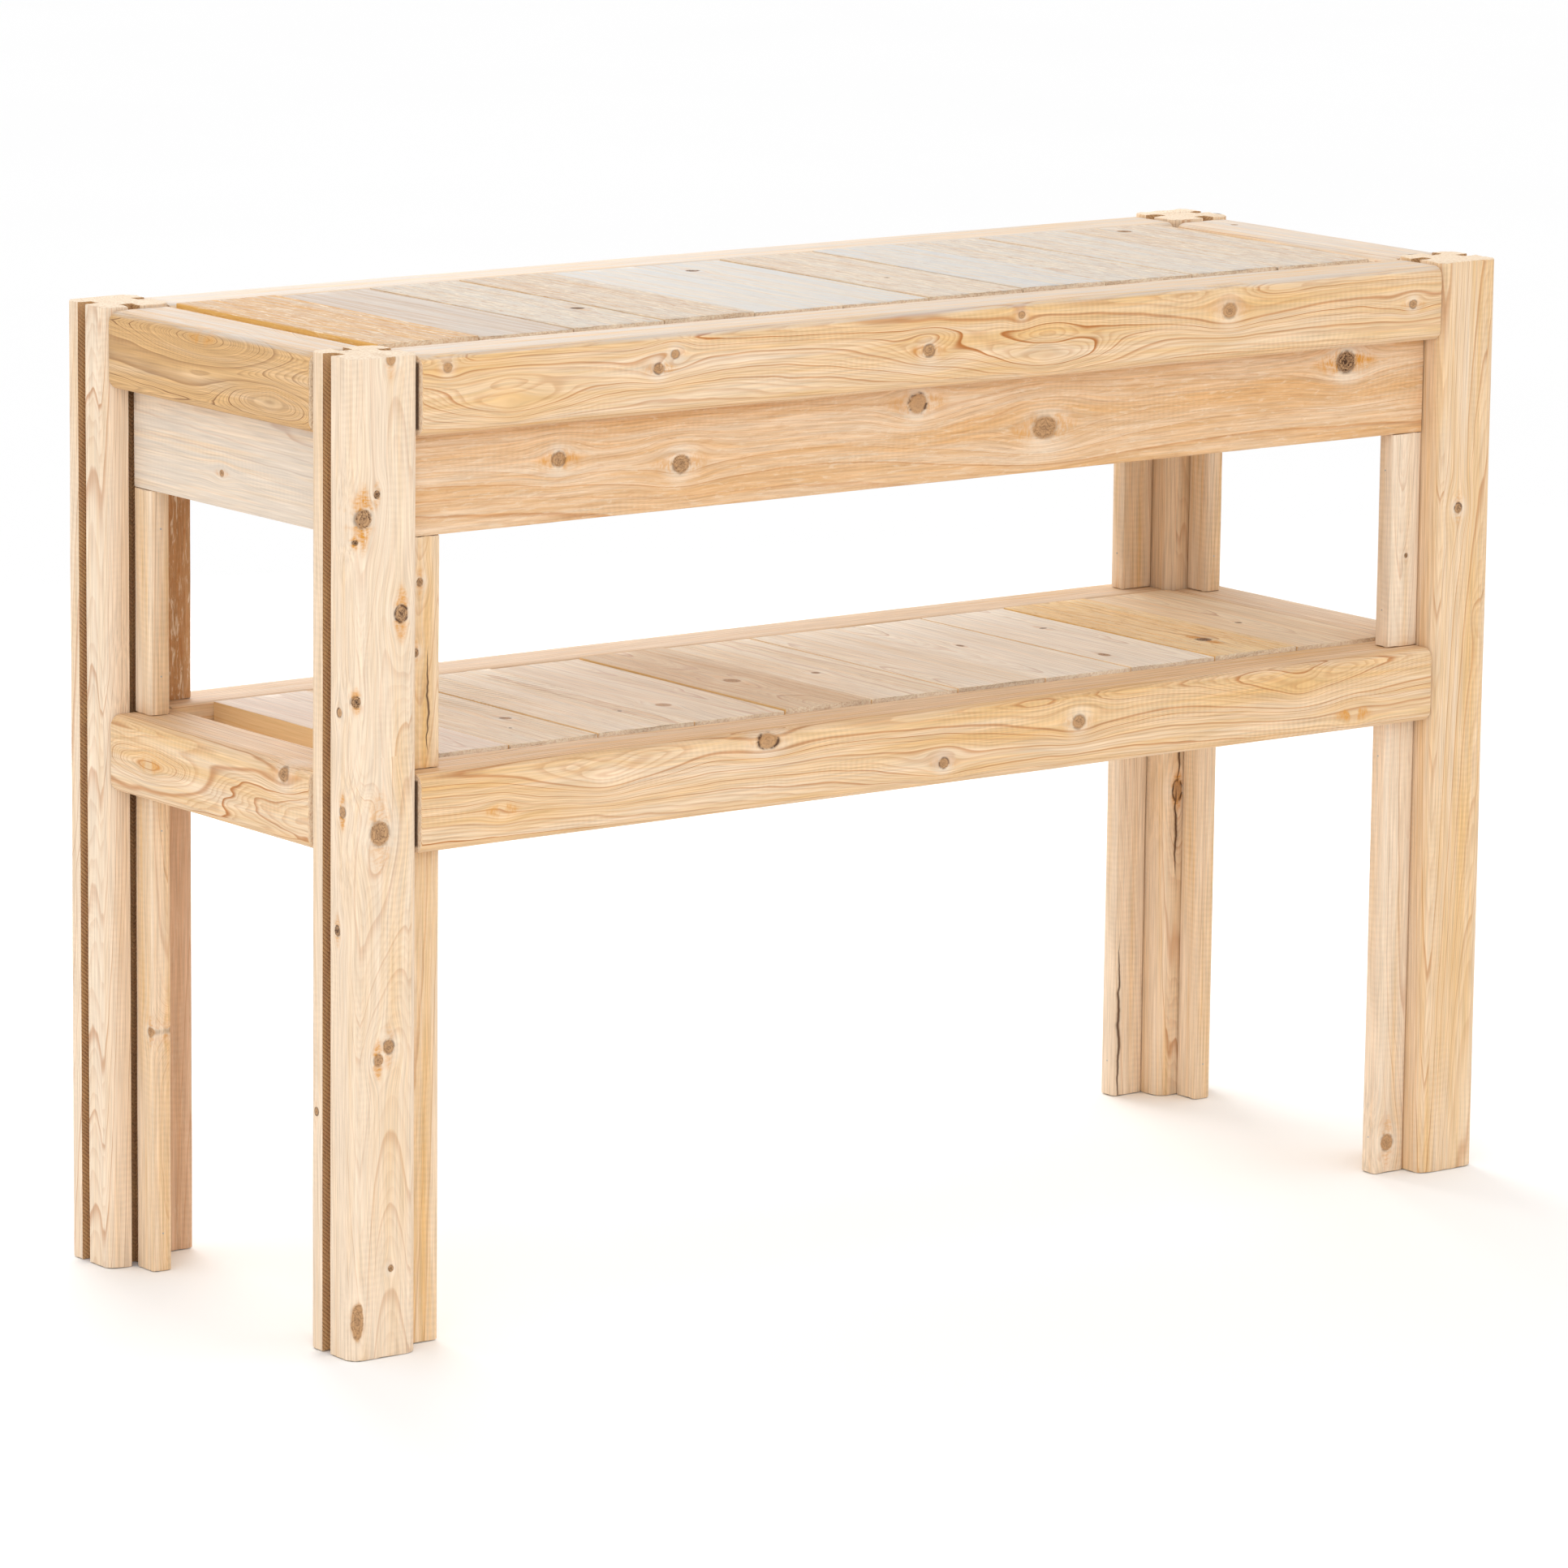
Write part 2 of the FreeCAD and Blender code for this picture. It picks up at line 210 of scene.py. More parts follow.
class Tree:
    """Adds nodes to one shader tree and joins them."""

    def __init__(self, tree):
        self.tree = tree

    def put(self, socket, value):
        """Link a socket into an input, or set the input's own value."""
        if isinstance(value, Value):
            self.tree.links.new(value.socket, socket)
        elif socket.type == "RGBA" and len(value) == 3:
            socket.default_value = (*value, 1.0)
        else:
            socket.default_value = value

    def add(self, kind, inputs=(), **settings):
        """A node with its settings made, and inputs given in order or by name. Returns its outputs."""
        node = self.tree.nodes.new(kind)
        for key, value in settings.items():
            setattr(node, key, value)
        pairs = inputs.items() if isinstance(inputs, dict) else enumerate(inputs)
        for key, value in pairs:
            self.put(node.inputs[key], value)
        return Sockets(self, node.outputs)

    def math(self, operation, *values):
        """One math node."""
        return self.add("ShaderNodeMath", values, operation=operation)[0]

    def vector(self, operation, *values):
        made = self.add("ShaderNodeVectorMath", values, operation=operation)
        return made["Value" if operation in ("DOT_PRODUCT", "LENGTH") else "Vector"]

    def scaled(self, vector, factor):
        """A vector made longer or shorter."""
        values = {0: vector, "Scale": factor}
        return self.add("ShaderNodeVectorMath", values, operation="SCALE")["Vector"]

    def parts(self, vector):
        return self.add("ShaderNodeSeparateXYZ", [vector])

    def join(self, x, y, z):
        return self.add("ShaderNodeCombineXYZ", [x, y, z])[0]

    def step(self, value, low, high, at_low=0.0, at_high=1.0):
        """A smooth step from one value to another."""
        return self.add("ShaderNodeMapRange", [value, low, high, at_low, at_high],
                        interpolation_type="SMOOTHSTEP")[0]

    def mix(self, factor, first, second, blend="MIX"):
        return self.add("ShaderNodeMix", {0: factor, 6: first, 7: second}, data_type="RGBA",
                        blend_type=blend)[2]

    def noise(self, place, stretch, detail=2.0, rough=0.5, distort=0.0):
        """Noise from 0 to 1, its scale in cells per metre along, across and deep."""
        spot = self.vector("MULTIPLY", place, stretch)
        values = {"Vector": spot, "Scale": 1.0, "Detail": detail, "Roughness": rough,
                  "Distortion": distort}
        return self.add("ShaderNodeTexNoise", values)[0]

    def bell(self, value, width):
        """1 where the value is zero, and falling to nothing a width or two away."""
        return self.math("EXPONENT", (value / width) ** 2.0 * -1.0)

    def group(self, name, inputs):
        """A shared effect, with its own values."""
        return self.add("ShaderNodeGroup", inputs, node_tree=bpy.data.node_groups[name])


SOCKETS = {"": "NodeSocketFloat", "V": "NodeSocketVector", "C": "NodeSocketColor"}


def new_group(name, takes, gives):
    """An empty node group. A socket is a number, or a vector with :V or a colour with :C."""
    tree = bpy.data.node_groups.new(name, "ShaderNodeTree")
    for way, names in (("INPUT", takes), ("OUTPUT", gives)):
        for word in names.split():
            label, _, kind = word.partition(":")
            tree.interface.new_socket(name=label, in_out=way, socket_type=SOCKETS[kind])
    build = Tree(tree)
    return build, build.add("NodeGroupInput"), tree.nodes.new("NodeGroupOutput")


def hand_out(build, out, values):
    """Link a group's results to its output node."""
    for label, value in values.items():
        build.put(out.inputs[label], value)


def group_place():
    """Where a point lies in its timber: along the grain, across and deep, and which way it faces."""
    for axis, order in AXES.items():
        build, given, out = new_group("Place along " + axis, "Middle:V", "Place:V End Up Side")
        point = build.add("ShaderNodeTexCoord")["Object"]
        local = build.parts(build.vector("SUBTRACT", point, given["Middle"]))
        facing = build.parts(build.add("ShaderNodeTexCoord")["Normal"])
        end = build.step(abs(facing[order[0]]), 0.55, 0.9)
        up = build.step(facing[2], 0.5, 0.95)
        side = build.step(abs(facing[order[1]]), 0.5, 0.9)
        hand_out(build, out, {"Place": build.join(*[local[i] for i in order]), "End": end, "Up": up,
                              "Side": side})


def group_knot_noise():
    """What all the knots of a timber share: wandering outlines, broken rims and small cracks."""
    build, given, out = new_group("Knot noise", "Place:V", "Wobble Broken Crackle")
    coarse = build.noise(given["Place"], (95.0, 125.0, 125.0), 2.0)
    fine = build.noise(given["Place"], (210.0, 260.0, 260.0), 2.0)
    split = abs(fine - 0.5)
    hand_out(build, out, {"Wobble": coarse - 0.5, "Broken": build.step(coarse, 0.4, 0.56, 0.15, 1.0),
                          "Crackle": build.step(split, 0.0, 0.035, 1.0, 0.0)})


def group_knot():
    """One knot: the grain turns round it, and it adds its disc, rim, pale wood and torn glow."""
    build, given, out = new_group(
        "Knot",
        "Place:V Centre:V Facing:V Radius Stretch Reach Body Dark Rim Swell Glow Wobble Broken "
        "Crackle Grain:V Disc Shade Halo Clear Lift",
        "Grain:V Disc Shade Halo Clear Lift")
    radius = given["Radius"]
    away = build.vector("SUBTRACT", given["Place"], given["Centre"])
    depth = build.vector("DOT_PRODUCT", away, given["Facing"])
    flat = build.vector("SUBTRACT", away, build.scaled(given["Facing"], depth))
    fade = build.step(abs(depth), given["Reach"], given["Reach"] * 1.6, 1.0, 0.0)
    spot = build.parts(flat)
    sideways = build.join(0.0, spot[1], spot[2])
    side = build.vector("LENGTH", sideways)
    along = spot[0] / given["Stretch"]
    plain = build.vector("LENGTH", build.join(along, side, 0.0))
    smooth = plain / radius
    ratio = given["Wobble"].times(0.4, plus=smooth)
    disc = build.step(ratio, 0.78, 1.04, 1.0, 0.0) * fade
    disc = disc * given["Body"]
    rings = build.math("SINE", ratio * KNOT_RINGS).times(0.5, plus=0.5)
    heart = build.step(ratio, 0.05, 0.5, 0.45, 0.0)
    inside = rings.times(0.4, plus=heart + 0.2)
    inside = given["Crackle"].times(0.9, plus=inside)
    dark = disc * given["Dark"] * (inside * 1.35)
    rim = build.bell(ratio - 0.95, 0.17) * given["Rim"]
    rim = rim * given["Broken"] * fade
    wide = radius * 2.4
    far = radius * given["Stretch"] * 4.0
    turn = build.bell(side, wide) * build.bell(spot[0], far)
    turn = turn * fade
    clear = build.step(ratio, 0.9, 2.9, 0.8, 0.0) * fade
    clear = clear * given["Body"]
    reach = given["Wobble"].times(2.2, plus=abs(spot[0] / radius))
    ends = build.step(reach, 0.5, 1.3) * build.step(reach, 2.4, 4.6, 1.0, 0.0)
    flank = given["Wobble"].times(-1.8, plus=side / radius)
    flank = reach.times(0.28, plus=flank)
    glow = ends * build.step(flank, 0.6, 1.9, 1.0, 0.0)
    glow = glow * fade * given["Glow"]
    island = build.bell(side, radius * 2.6) * build.bell(spot[0], radius * 13.0)
    island = island * given["Swell"]
    hand_out(build, out, {"Grain": build.vector("SUBTRACT", given["Grain"],
                                                build.scaled(sideways, turn)),
                          "Disc": build.math("MAXIMUM", given["Disc"], disc),
                          "Shade": build.math("MAXIMUM", given["Shade"],
                                              build.math("MAXIMUM", dark, rim)),
                          "Halo": build.math("MAXIMUM", given["Halo"], glow),
                          "Clear": build.math("MAXIMUM", given["Clear"], clear),
                          "Lift": given["Lift"] + island})


def group_crack():
    """A drying crack along the grain: a dark, wandering line that tapers to both ends."""
    build, given, out = new_group("Crack", "Place:V Centre:V Facing:V Length Width Shade", "Shade")
    away = build.vector("SUBTRACT", given["Place"], given["Centre"])
    depth = build.vector("DOT_PRODUCT", away, given["Facing"])
    spot = build.parts(build.vector("SUBTRACT", away, build.scaled(given["Facing"], depth)))
    wander = build.noise(given["Place"], (28.0, 6.0, 6.0), 3.0) - 0.5
    side = spot[1] + spot[2] + wander * CRACK_WANDER
    taper = build.bell(spot[0], given["Length"] * 0.42)
    line = build.bell(side, given["Width"] * (taper + 0.05))
    line = line * build.step(taper, 0.05, 0.3)
    near = build.step(abs(depth), *CRACK_DEPTH, 1.0, 0.0)
    hand_out(build, out, {"Shade": build.math("MAXIMUM", given["Shade"], line * near)})


def group_rings():
    """Growth rings round the pith: pale early wood, and a thin late line that ends sharply."""
    build, given, out = new_group(
        "Growth rings",
        "Grain:V Place:V Pith:V Spacing Wobble Lift",
        "Late Fine Band")
    point, pith = (build.parts(given["Grain"]), build.parts(given["Pith"]))
    across = (point[1] - pith[1]) ** 2.0
    deep = (point[2] - pith[2]) ** 2.0
    reach = build.math("SQRT", across + deep)
    reach = point[0].times(pith[0], plus=reach) + given["Lift"]
    slow = build.noise(given["Place"], (2.8, 13.0, 13.0), 0.0) - 0.5
    quick = build.noise(given["Place"], (22.0, 70.0, 70.0), 1.0) - 0.5
    reach = slow.times(given["Wobble"] * RING_DRIFT, plus=reach)
    reach = quick.times(given["Wobble"] * RING_RIPPLE, plus=reach)
    count = reach / given["Spacing"]
    uneven = build.add("ShaderNodeTexNoise", {"W": count, "Scale": 0.31, "Detail": 1.0},
                       noise_dimensions="1D")[0]
    count = uneven.times(2.6, plus=count)
    phase = build.math("FRACT", count)
    late = build.step(phase, 0.74, 0.95) * build.step(phase, 0.955, 1.0, 1.0, 0.0)
    late = late ** 1.4
    year = build.add("ShaderNodeTexWhiteNoise", {"W": build.math("FLOOR", count)},
                     noise_dimensions="1D")[0]
    late = late * year.times(0.75, plus=0.25)
    minor = build.math("FRACT", count * 4.0)
    minor = build.step(minor, 0.35, 0.9) * build.step(minor, 0.91, 1.0, 1.0, 0.0)
    hand_out(build, out, {"Late": late, "Fine": minor, "Band": year})


def group_planing():
    """Chatter left by a planer: short ripples across the grain that come and go in patches."""
    build, given, out = new_group("Planer ripple", "Place:V Pitch", "Ripple")
    point = build.parts(given["Place"])
    sway = build.noise(given["Place"], (9.0, 22.0, 22.0), 2.0) - 0.5
    run = sway.times(0.016, plus=point[0])
    wave = build.math("SINE", run * math.tau / given["Pitch"])
    patch = build.step(build.noise(given["Place"], (5.0, 26.0, 26.0), 3.0), 0.45, 0.66)
    hand_out(build, out, {"Ripple": wave * patch})


def group_fuzz():
    """Torn fibres: raised threads along the grain, short torn flecks, and the saw's bands across."""
    build, given, out = new_group("Torn fibres", "Place:V", "Threads Flecks Bands")
    threads = build.noise(given["Place"], (40.0, 280.0, 280.0), 3.0, 0.72, 0.8)
    flecks = build.step(build.noise(given["Place"], (380.0, 150.0, 150.0), 2.0, 0.6), 0.44, 0.58)
    point = build.parts(given["Place"])
    bend = point[1] ** 2.0 * BLADE_BEND
    sway = (threads - 0.5) * 0.004
    run = point[0] + bend + sway
    bands = build.math("SINE", run * SAW_BANDS).times(0.5, plus=0.5)
    hand_out(build, out, {"Threads": threads, "Flecks": flecks, "Bands": bands})


def group_cedar():
    """The colour, roughness and height of cedar from its rings, fibres, knots and tool marks, with
    painted shade in a rail's shoulder, painted sheen on upward faces and painted light on the boards'
    side faces.
    """
    build, given, out = new_group(
        "Cedar",
        "Place:V End Up Side Edge Shoulder Grain:V Disc Shade Halo Clear Lift Pith:V Spacing Wobble "
        "Contrast Warmth Bloom Amber:C Dryness Ripple Pitch Fuzz Pale:C Honey:C Line:C Grey:C Glow:C "
        "Knot:C Bark:C Cut:C",
        "Colour:C Roughness Height")
    place = given["Place"]
    rings = build.group("Growth rings",
                        {key: given[key] for key in ("Grain", "Place", "Pith", "Spacing", "Wobble",
                                                     "Lift")})
    streak = build.noise(given["Grain"], (1.9, 46.0, 46.0), 3.0, 0.62)
    patch = build.noise(place, (3.4, 17.0, 17.0), 2.0, 0.55)
    fibre = build.noise(given["Grain"], (13.0, 430.0, 430.0), 2.0, 0.7)
    strand = build.noise(given["Grain"], (4.5, 165.0, 165.0), 3.0, 0.66)
    torn = build.group("Torn fibres", {"Place": place})
    ripple = build.group("Planer ripple", {"Place": place, "Pitch": given["Pitch"]})[0]
    swing = (streak - 0.5) * 0.95 + (rings["Band"] - 0.5) * 0.16
    warm = swing + given["Warmth"]
    warm = (patch - 0.5).times(0.55, plus=warm)
    warm = (strand - 0.5).times(0.75, plus=warm)
    warm = warm - given["Clear"] * 0.45
    tone = build.mix(build.step(warm, -0.05, 1.05), given["Pale"], given["Honey"])
    calm = given["Clear"].times(-0.75, plus=1.0)
    bold = rings["Late"] * given["Contrast"] * calm
    tone = build.mix(bold, tone, given["Line"])
    faint = rings["Fine"] * given["Contrast"] * 0.26
    tone = build.mix(faint, tone, given["Line"])
    grainy = (fibre - 0.5).times(0.75, plus=1.0)
    waves = ripple * given["Ripple"]
    grainy = waves.times(0.045, plus=grainy)
    tone = build.mix(1.0, tone, build.join(grainy, grainy, grainy), "MULTIPLY")
    # Painted sheen: upward faces are greyed for the cool reflection on them. Each board's grey weight
    # adds its own grey bloom, mixed with painted sheen on its top.
    bloom = build.math("MAXIMUM", given["Bloom"], given["Up"] * given["Dryness"])
    bloom = bloom * build.step(strand, 0.42, 0.6, 1.0, 0.3)
    tone = build.mix(bloom, tone, given["Grey"])
    lifted = build.step(torn["Threads"], 0.53, 0.66) * given["Fuzz"]
    tone = build.mix(lifted * 0.8, tone, given["Cut"])
    pit = build.step(torn["Threads"], 0.33, 0.45, 1.0, 0.0) * given["Fuzz"]
    tone = build.mix(pit * 0.5, tone, given["Line"])
    # Painted light: the boards' side faces take the sunlit amber, for the light coming through the gaps
    # between them.
    tone = build.mix(given["Side"] * given["Edge"], tone, given["Amber"])
    shred = build.step(strand, 0.42, 0.56).times(0.45, plus=torn["Flecks"] * 0.45)
    ember = build.math("MINIMUM", given["Halo"] * (shred + 0.25), 1.0)
    tone = build.mix(ember, tone, given["Glow"])
    tone = build.mix(given["Disc"] * 0.88, tone, given["Knot"])
    tone = build.mix(given["Shade"], tone, given["Bark"])
    speck = build.noise(place, (420.0, 420.0, 420.0), 2.0)
    cut = build.mix(rings["Late"] * 0.45, given["Cut"], given["Line"])
    cut = build.mix(build.step(speck, 0.35, 0.6, 0.3, 0.0), cut, given["Line"])
    tone = build.mix(given["End"] * 0.85, tone, cut)
    # Painted shade: the middle of a rail's end face, in the recess where its shoulder meets the post,
    # is darkened towards the bark colour.
    point = build.parts(place)
    shoulder_shade = build.math("MAXIMUM", abs(point[1]), abs(point[2]))
    shoulder_shade = build.step(shoulder_shade, *SHOULDER_SHADE_EDGE, 0.85, 0.0) * (given["End"] * given["Shoulder"])
    tone = build.mix(shoulder_shade, tone, given["Bark"])
    rough = rings["Late"].times(-0.08, plus=0.66)
    rough = given["Fuzz"].times(0.22, plus=rough)
    rough = build.math("MAXIMUM", rough, given["End"] * 0.9)
    height = rings["Late"].times(0.06, plus=fibre * 0.22)
    height = waves.times(0.2, plus=height)
    height = torn["Threads"].times(given["Fuzz"] * 1.5, plus=height)
    height = torn["Bands"].times(given["Fuzz"] * 0.12, plus=height)
    height = ember.times(0.35, plus=height)
    height = given["Shade"].times(-0.9, plus=height)
    height = speck.times(given["End"] * 1.2, plus=height)
    hand_out(build, out, {"Colour": tone, "Roughness": rough, "Height": height})


def group_groove():
    """The rough brown walls of a groove, with slanting saw marks and torn wood."""
    build, given, out = new_group(
        "Groove wall",
        "Place:V Brown:C Bark:C Pale:C",
        "Colour:C Roughness Height")
    place = given["Place"]
    point = build.parts(place)
    slant = point[0] + (point[1] + point[2]) * 0.8
    sway = build.noise(place, (20.0, 20.0, 20.0), 2.0) * 0.006
    teeth = build.math("SINE", (slant + sway) * SAW_TEETH)
    teeth = teeth.times(0.5, plus=0.5)
    mottle = build.noise(place, (22.0, 120.0, 120.0), 4.0, 0.65)
    tone = build.mix(build.step(mottle, 0.3, 0.7), given["Brown"], given["Pale"])
    tone = build.mix(0.55, tone, given["Brown"])
    tone = build.mix(teeth * 0.13, tone, given["Bark"])
    dark = build.step(build.noise(place, (14.0, 60.0, 60.0), 3.0), 0.56, 0.74)
    tone = build.mix(dark * 0.22, tone, given["Bark"])
    height = teeth.times(0.5, plus=mottle)
    rough = mottle.times(0.15, plus=0.75)
    hand_out(build, out, {"Colour": tone, "Roughness": rough, "Height": height})


def group_metal():
    """Small scratches and dull spots on wire and plated screws."""
    build, given, out = new_group("Fastener metal", "Base:C", "Colour:C Roughness Height")
    point = build.add("ShaderNodeTexCoord")["Object"]
    dull = build.noise(point, (160.0, 160.0, 160.0), 4.0)
    fine = build.noise(point, (900.0, 900.0, 2400.0), 3.0)
    tone = build.mix(build.step(dull, 0.4, 0.7), given["Base"], paint(150, 146, 136))
    hand_out(build, out, {"Colour": tone, "Roughness": build.step(dull, 0.3, 0.7, 0.28, 0.5),
                          "Height": fine})


def build_groups():
    """Every shared effect, built once."""
    if "Cedar" in bpy.data.node_groups:
        return
    for make in (group_place, group_knot_noise, group_knot, group_crack, group_rings, group_planing,
                 group_fuzz, group_cedar, group_groove, group_metal):
        make()


# ---- materials ----------------------------------------------------------------------------
def surface(material, skin, relief, **plain):
    """The shader itself, with its colour, roughness and relief from a skin, and its plain values."""
    build = Tree(material.node_tree)
    bump = build.add("ShaderNodeBump", {"Strength": 1.0, "Distance": relief, "Height": skin["Height"]})
    values = {"Base Color": skin["Colour"], "Roughness": skin["Roughness"], "Normal": bump[0]}
    shader = build.add("ShaderNodeBsdfPrincipled", {**values, **plain})
    build.add("ShaderNodeOutputMaterial", {"Surface": shader[0]})


def new_material(name):
    """An empty material and its builder, with the shared effects at hand."""
    build_groups()
    material = bpy.data.materials.new(name)
    material.use_nodes = True
    material.node_tree.nodes.clear()
    return material, Tree(material.node_tree)


def turned(axis, vector):
    """A row-frame vector as along, across and deep."""
    return tuple(vector[i] for i in AXES[axis])


def aimed(axis, middle, spot, face):
    """Where a mark lies in its timber and which way it looks, from a place in the bench's frame."""
    centre = Vector([value * MM for value in spot]) - middle
    facing = Vector([float(letter == face) for letter in "xyz"])
    return {"Centre": turned(axis, centre), "Facing": turned(axis, facing)}


def titled(look, keys, scale=1.0):
    """Some of a look's entries as the inputs of a node group."""
    return {key.title(): look[key] * scale for key in keys}


def cedar(name, axis, middle, look):
    """The cedar of one timber, with its own pith, tone and knots."""
    colours = bpy.context.scene.bench_colours
    look = {**PLAIN_LOOK, **look}
    material, build = new_material(name)
    place = build.group("Place along " + axis, {"Middle": middle})
    state = {"Grain": place["Place"], "Disc": 0.0, "Shade": 0.0, "Halo": 0.0, "Clear": 0.0, "Lift": 0.0}
    shared = {"Place": place["Place"]}
    if look["knots"]:
        uneven = build.group("Knot noise", shared)
        shared |= {key: uneven[key] for key in ("Wobble", "Broken", "Crackle")}
    for mark in look["knots"]:
        values = {**titled(mark, ("radius", "reach", "swell"), MM),
                  **titled(mark, ("stretch", "body", "dark", "rim", "glow"))}
        spot = aimed(axis, middle, mark["spot"], mark["face"])
        made = build.group("Knot", {**spot, **shared, **values, **state})
        state = {key: made[key] for key in state}
    for spot, face, long, wide in look["cracks"]:
        values = {**aimed(axis, middle, spot, face), "Place": place["Place"], "Shade": state["Shade"],
                  "Length": long * MM, "Width": wide * MM}
        state["Shade"] = build.group("Crack", values)["Shade"]
    taper, across, deep = look["pith"]
    values = {key: place[key] for key in ("Place", "End", "Up", "Side")}
    values |= {**state, "Pith": (taper, across * MM, deep * MM), "Glow": tuple(colours.halo)}
    values |= titled(look, ("spacing", "wobble", "pitch"), MM)
    values |= titled(look, ("edge", "shoulder", "contrast", "warmth", "bloom", "dryness", "ripple",
                            "fuzz"))
    for key in ("pale", "honey", "line", "grey", "amber", "knot", "bark", "cut"):
        values[key.title()] = tuple(look.get(key, getattr(colours, key)))
    skin = build.group("Cedar", values)
    surface(material, skin, CEDAR_RELIEF, **{"Specular IOR Level": 0.32})
    return material


def groove_wall(name, middle):
    """The material inside a post's grooves."""
    colours = bpy.context.scene.bench_colours
    material, build = new_material(name)
    place = build.group("Place along z", {"Middle": middle})
    skin = build.group("Groove wall", {"Place": place["Place"], "Brown": tuple(colours.groove),
                                       "Bark": tuple(colours.bark), "Pale": tuple(colours.honey)})
    surface(material, skin, GROOVE_RELIEF)
    return material


def fastener_metal(name, base):
    """Bright metal for screws and brads."""
    material, build = new_material(name)
    skin = build.group("Fastener metal", {"Base": tuple(base)})
    surface(material, skin, METAL_RELIEF, Metallic=1.0)
    return material


# ---- meshes -------------------------------------------------------------------------------
def outline(corners, step):
    """Points round a closed section from corners (across, deep, radius, skin), and each edge's skin."""
    runs = []
    count = len(corners)
    for i, (a, b, radius, skin) in enumerate(corners):
        here = np.array((a, b))
        before = np.array(corners[i - 1][:2]) - here
        after = np.array(corners[(i + 1) % count][:2]) - here
        before /= np.linalg.norm(before)
        after /= np.linalg.norm(after)
        if radius <= 0:
            runs.append(([here], skin))
            continue
        centre = here + before * radius + after * radius
        bends = 6 if radius > 0.005 else 3
        arc = [centre - after * radius * math.cos(t) - before * radius * math.sin(t)
               for t in np.linspace(0, math.pi / 2, bends)]
        runs.append((arc, skin))
    points, skins = [], []
    for i, (arc, skin) in enumerate(runs):
        points += arc
        skins += [corners[i - 1][3] if len(arc) > 1 and skin == 0 else skin] * (len(arc) - 1)
        start, stop = arc[-1], runs[(i + 1) % count][0][0]
        pieces = max(1, math.ceil(np.linalg.norm(stop - start) / step))
        points += [start + (stop - start) * k / pieces for k in range(1, pieces)]
        skins += [skin] * pieces
    return np.array(points), np.array(skins)


def normals_of(section):
    """Outward directions at the points of a section that runs anticlockwise."""
    ahead = np.roll(section, -1, axis=0) - np.roll(section, 1, axis=0)
    out = np.stack([ahead[:, 1], -ahead[:, 0]], axis=1)
    return out / np.linalg.norm(out, axis=1, keepdims=True)


def waves(rng, along, section, shortest, longest):
    """A gentle surface between 0 and 1 over stations and section points."""
    total = np.zeros((len(along), len(section)))
    for _ in range(WAVES):
        run = math.tau / rng.uniform(shortest, longest)
        turn = rng.normal(size=2) * math.tau / WAVE_ACROSS
        phase = rng.uniform(0, math.tau)
        total += np.sin(along[:, None] * run + (section @ turn)[None, :] + phase)
    return 0.5 + total / (2 * WAVES)


def loft(name, axis, middle, rings, skins, materials):
    """A closed mesh through rings of points (station, section), smooth but for its sharp edges."""
    size = len(rings[0][1])
    along = np.concatenate([np.full(size, g) if np.isscalar(g) else g for g, _ in rings])
    section = np.concatenate([points for _, points in rings])
    local = np.column_stack([along, section])
    world = np.empty_like(local)
    for i, letter in enumerate(AXES[axis]):
        world[:, letter] = local[:, i]
    world += np.array(middle)
    faces, slots = [], []
    for r in range(len(rings) - 1):
        low, high = r * size, (r + 1) * size
        for k in range(size):
            n = (k + 1) % size
            faces.append((low + k, low + n, high + n, high + k))
            slots.append(int(skins[k]))
    faces.append(tuple(range(size))[::-1])
    faces.append(tuple(range((len(rings) - 1) * size, len(rings) * size)))
    slots += [0, 0]
    mesh = bpy.data.meshes.new(name)
    mesh.from_pydata(world.tolist(), [], faces)
    mesh.polygons.foreach_set("material_index", slots)
    work = bmesh.new()
    work.from_mesh(mesh)
    bmesh.ops.recalc_face_normals(work, faces=work.faces)
    work.to_mesh(mesh)
    work.free()
    mesh.polygons.foreach_set("use_smooth", [True] * len(mesh.polygons))
    mesh.set_sharp_from_angle(angle=SHARP_EDGE)
    for material in materials:
        mesh.materials.append(material)
    made = bpy.data.objects.new(name, mesh)
    bpy.context.scene.collection.objects.link(made)
    return made


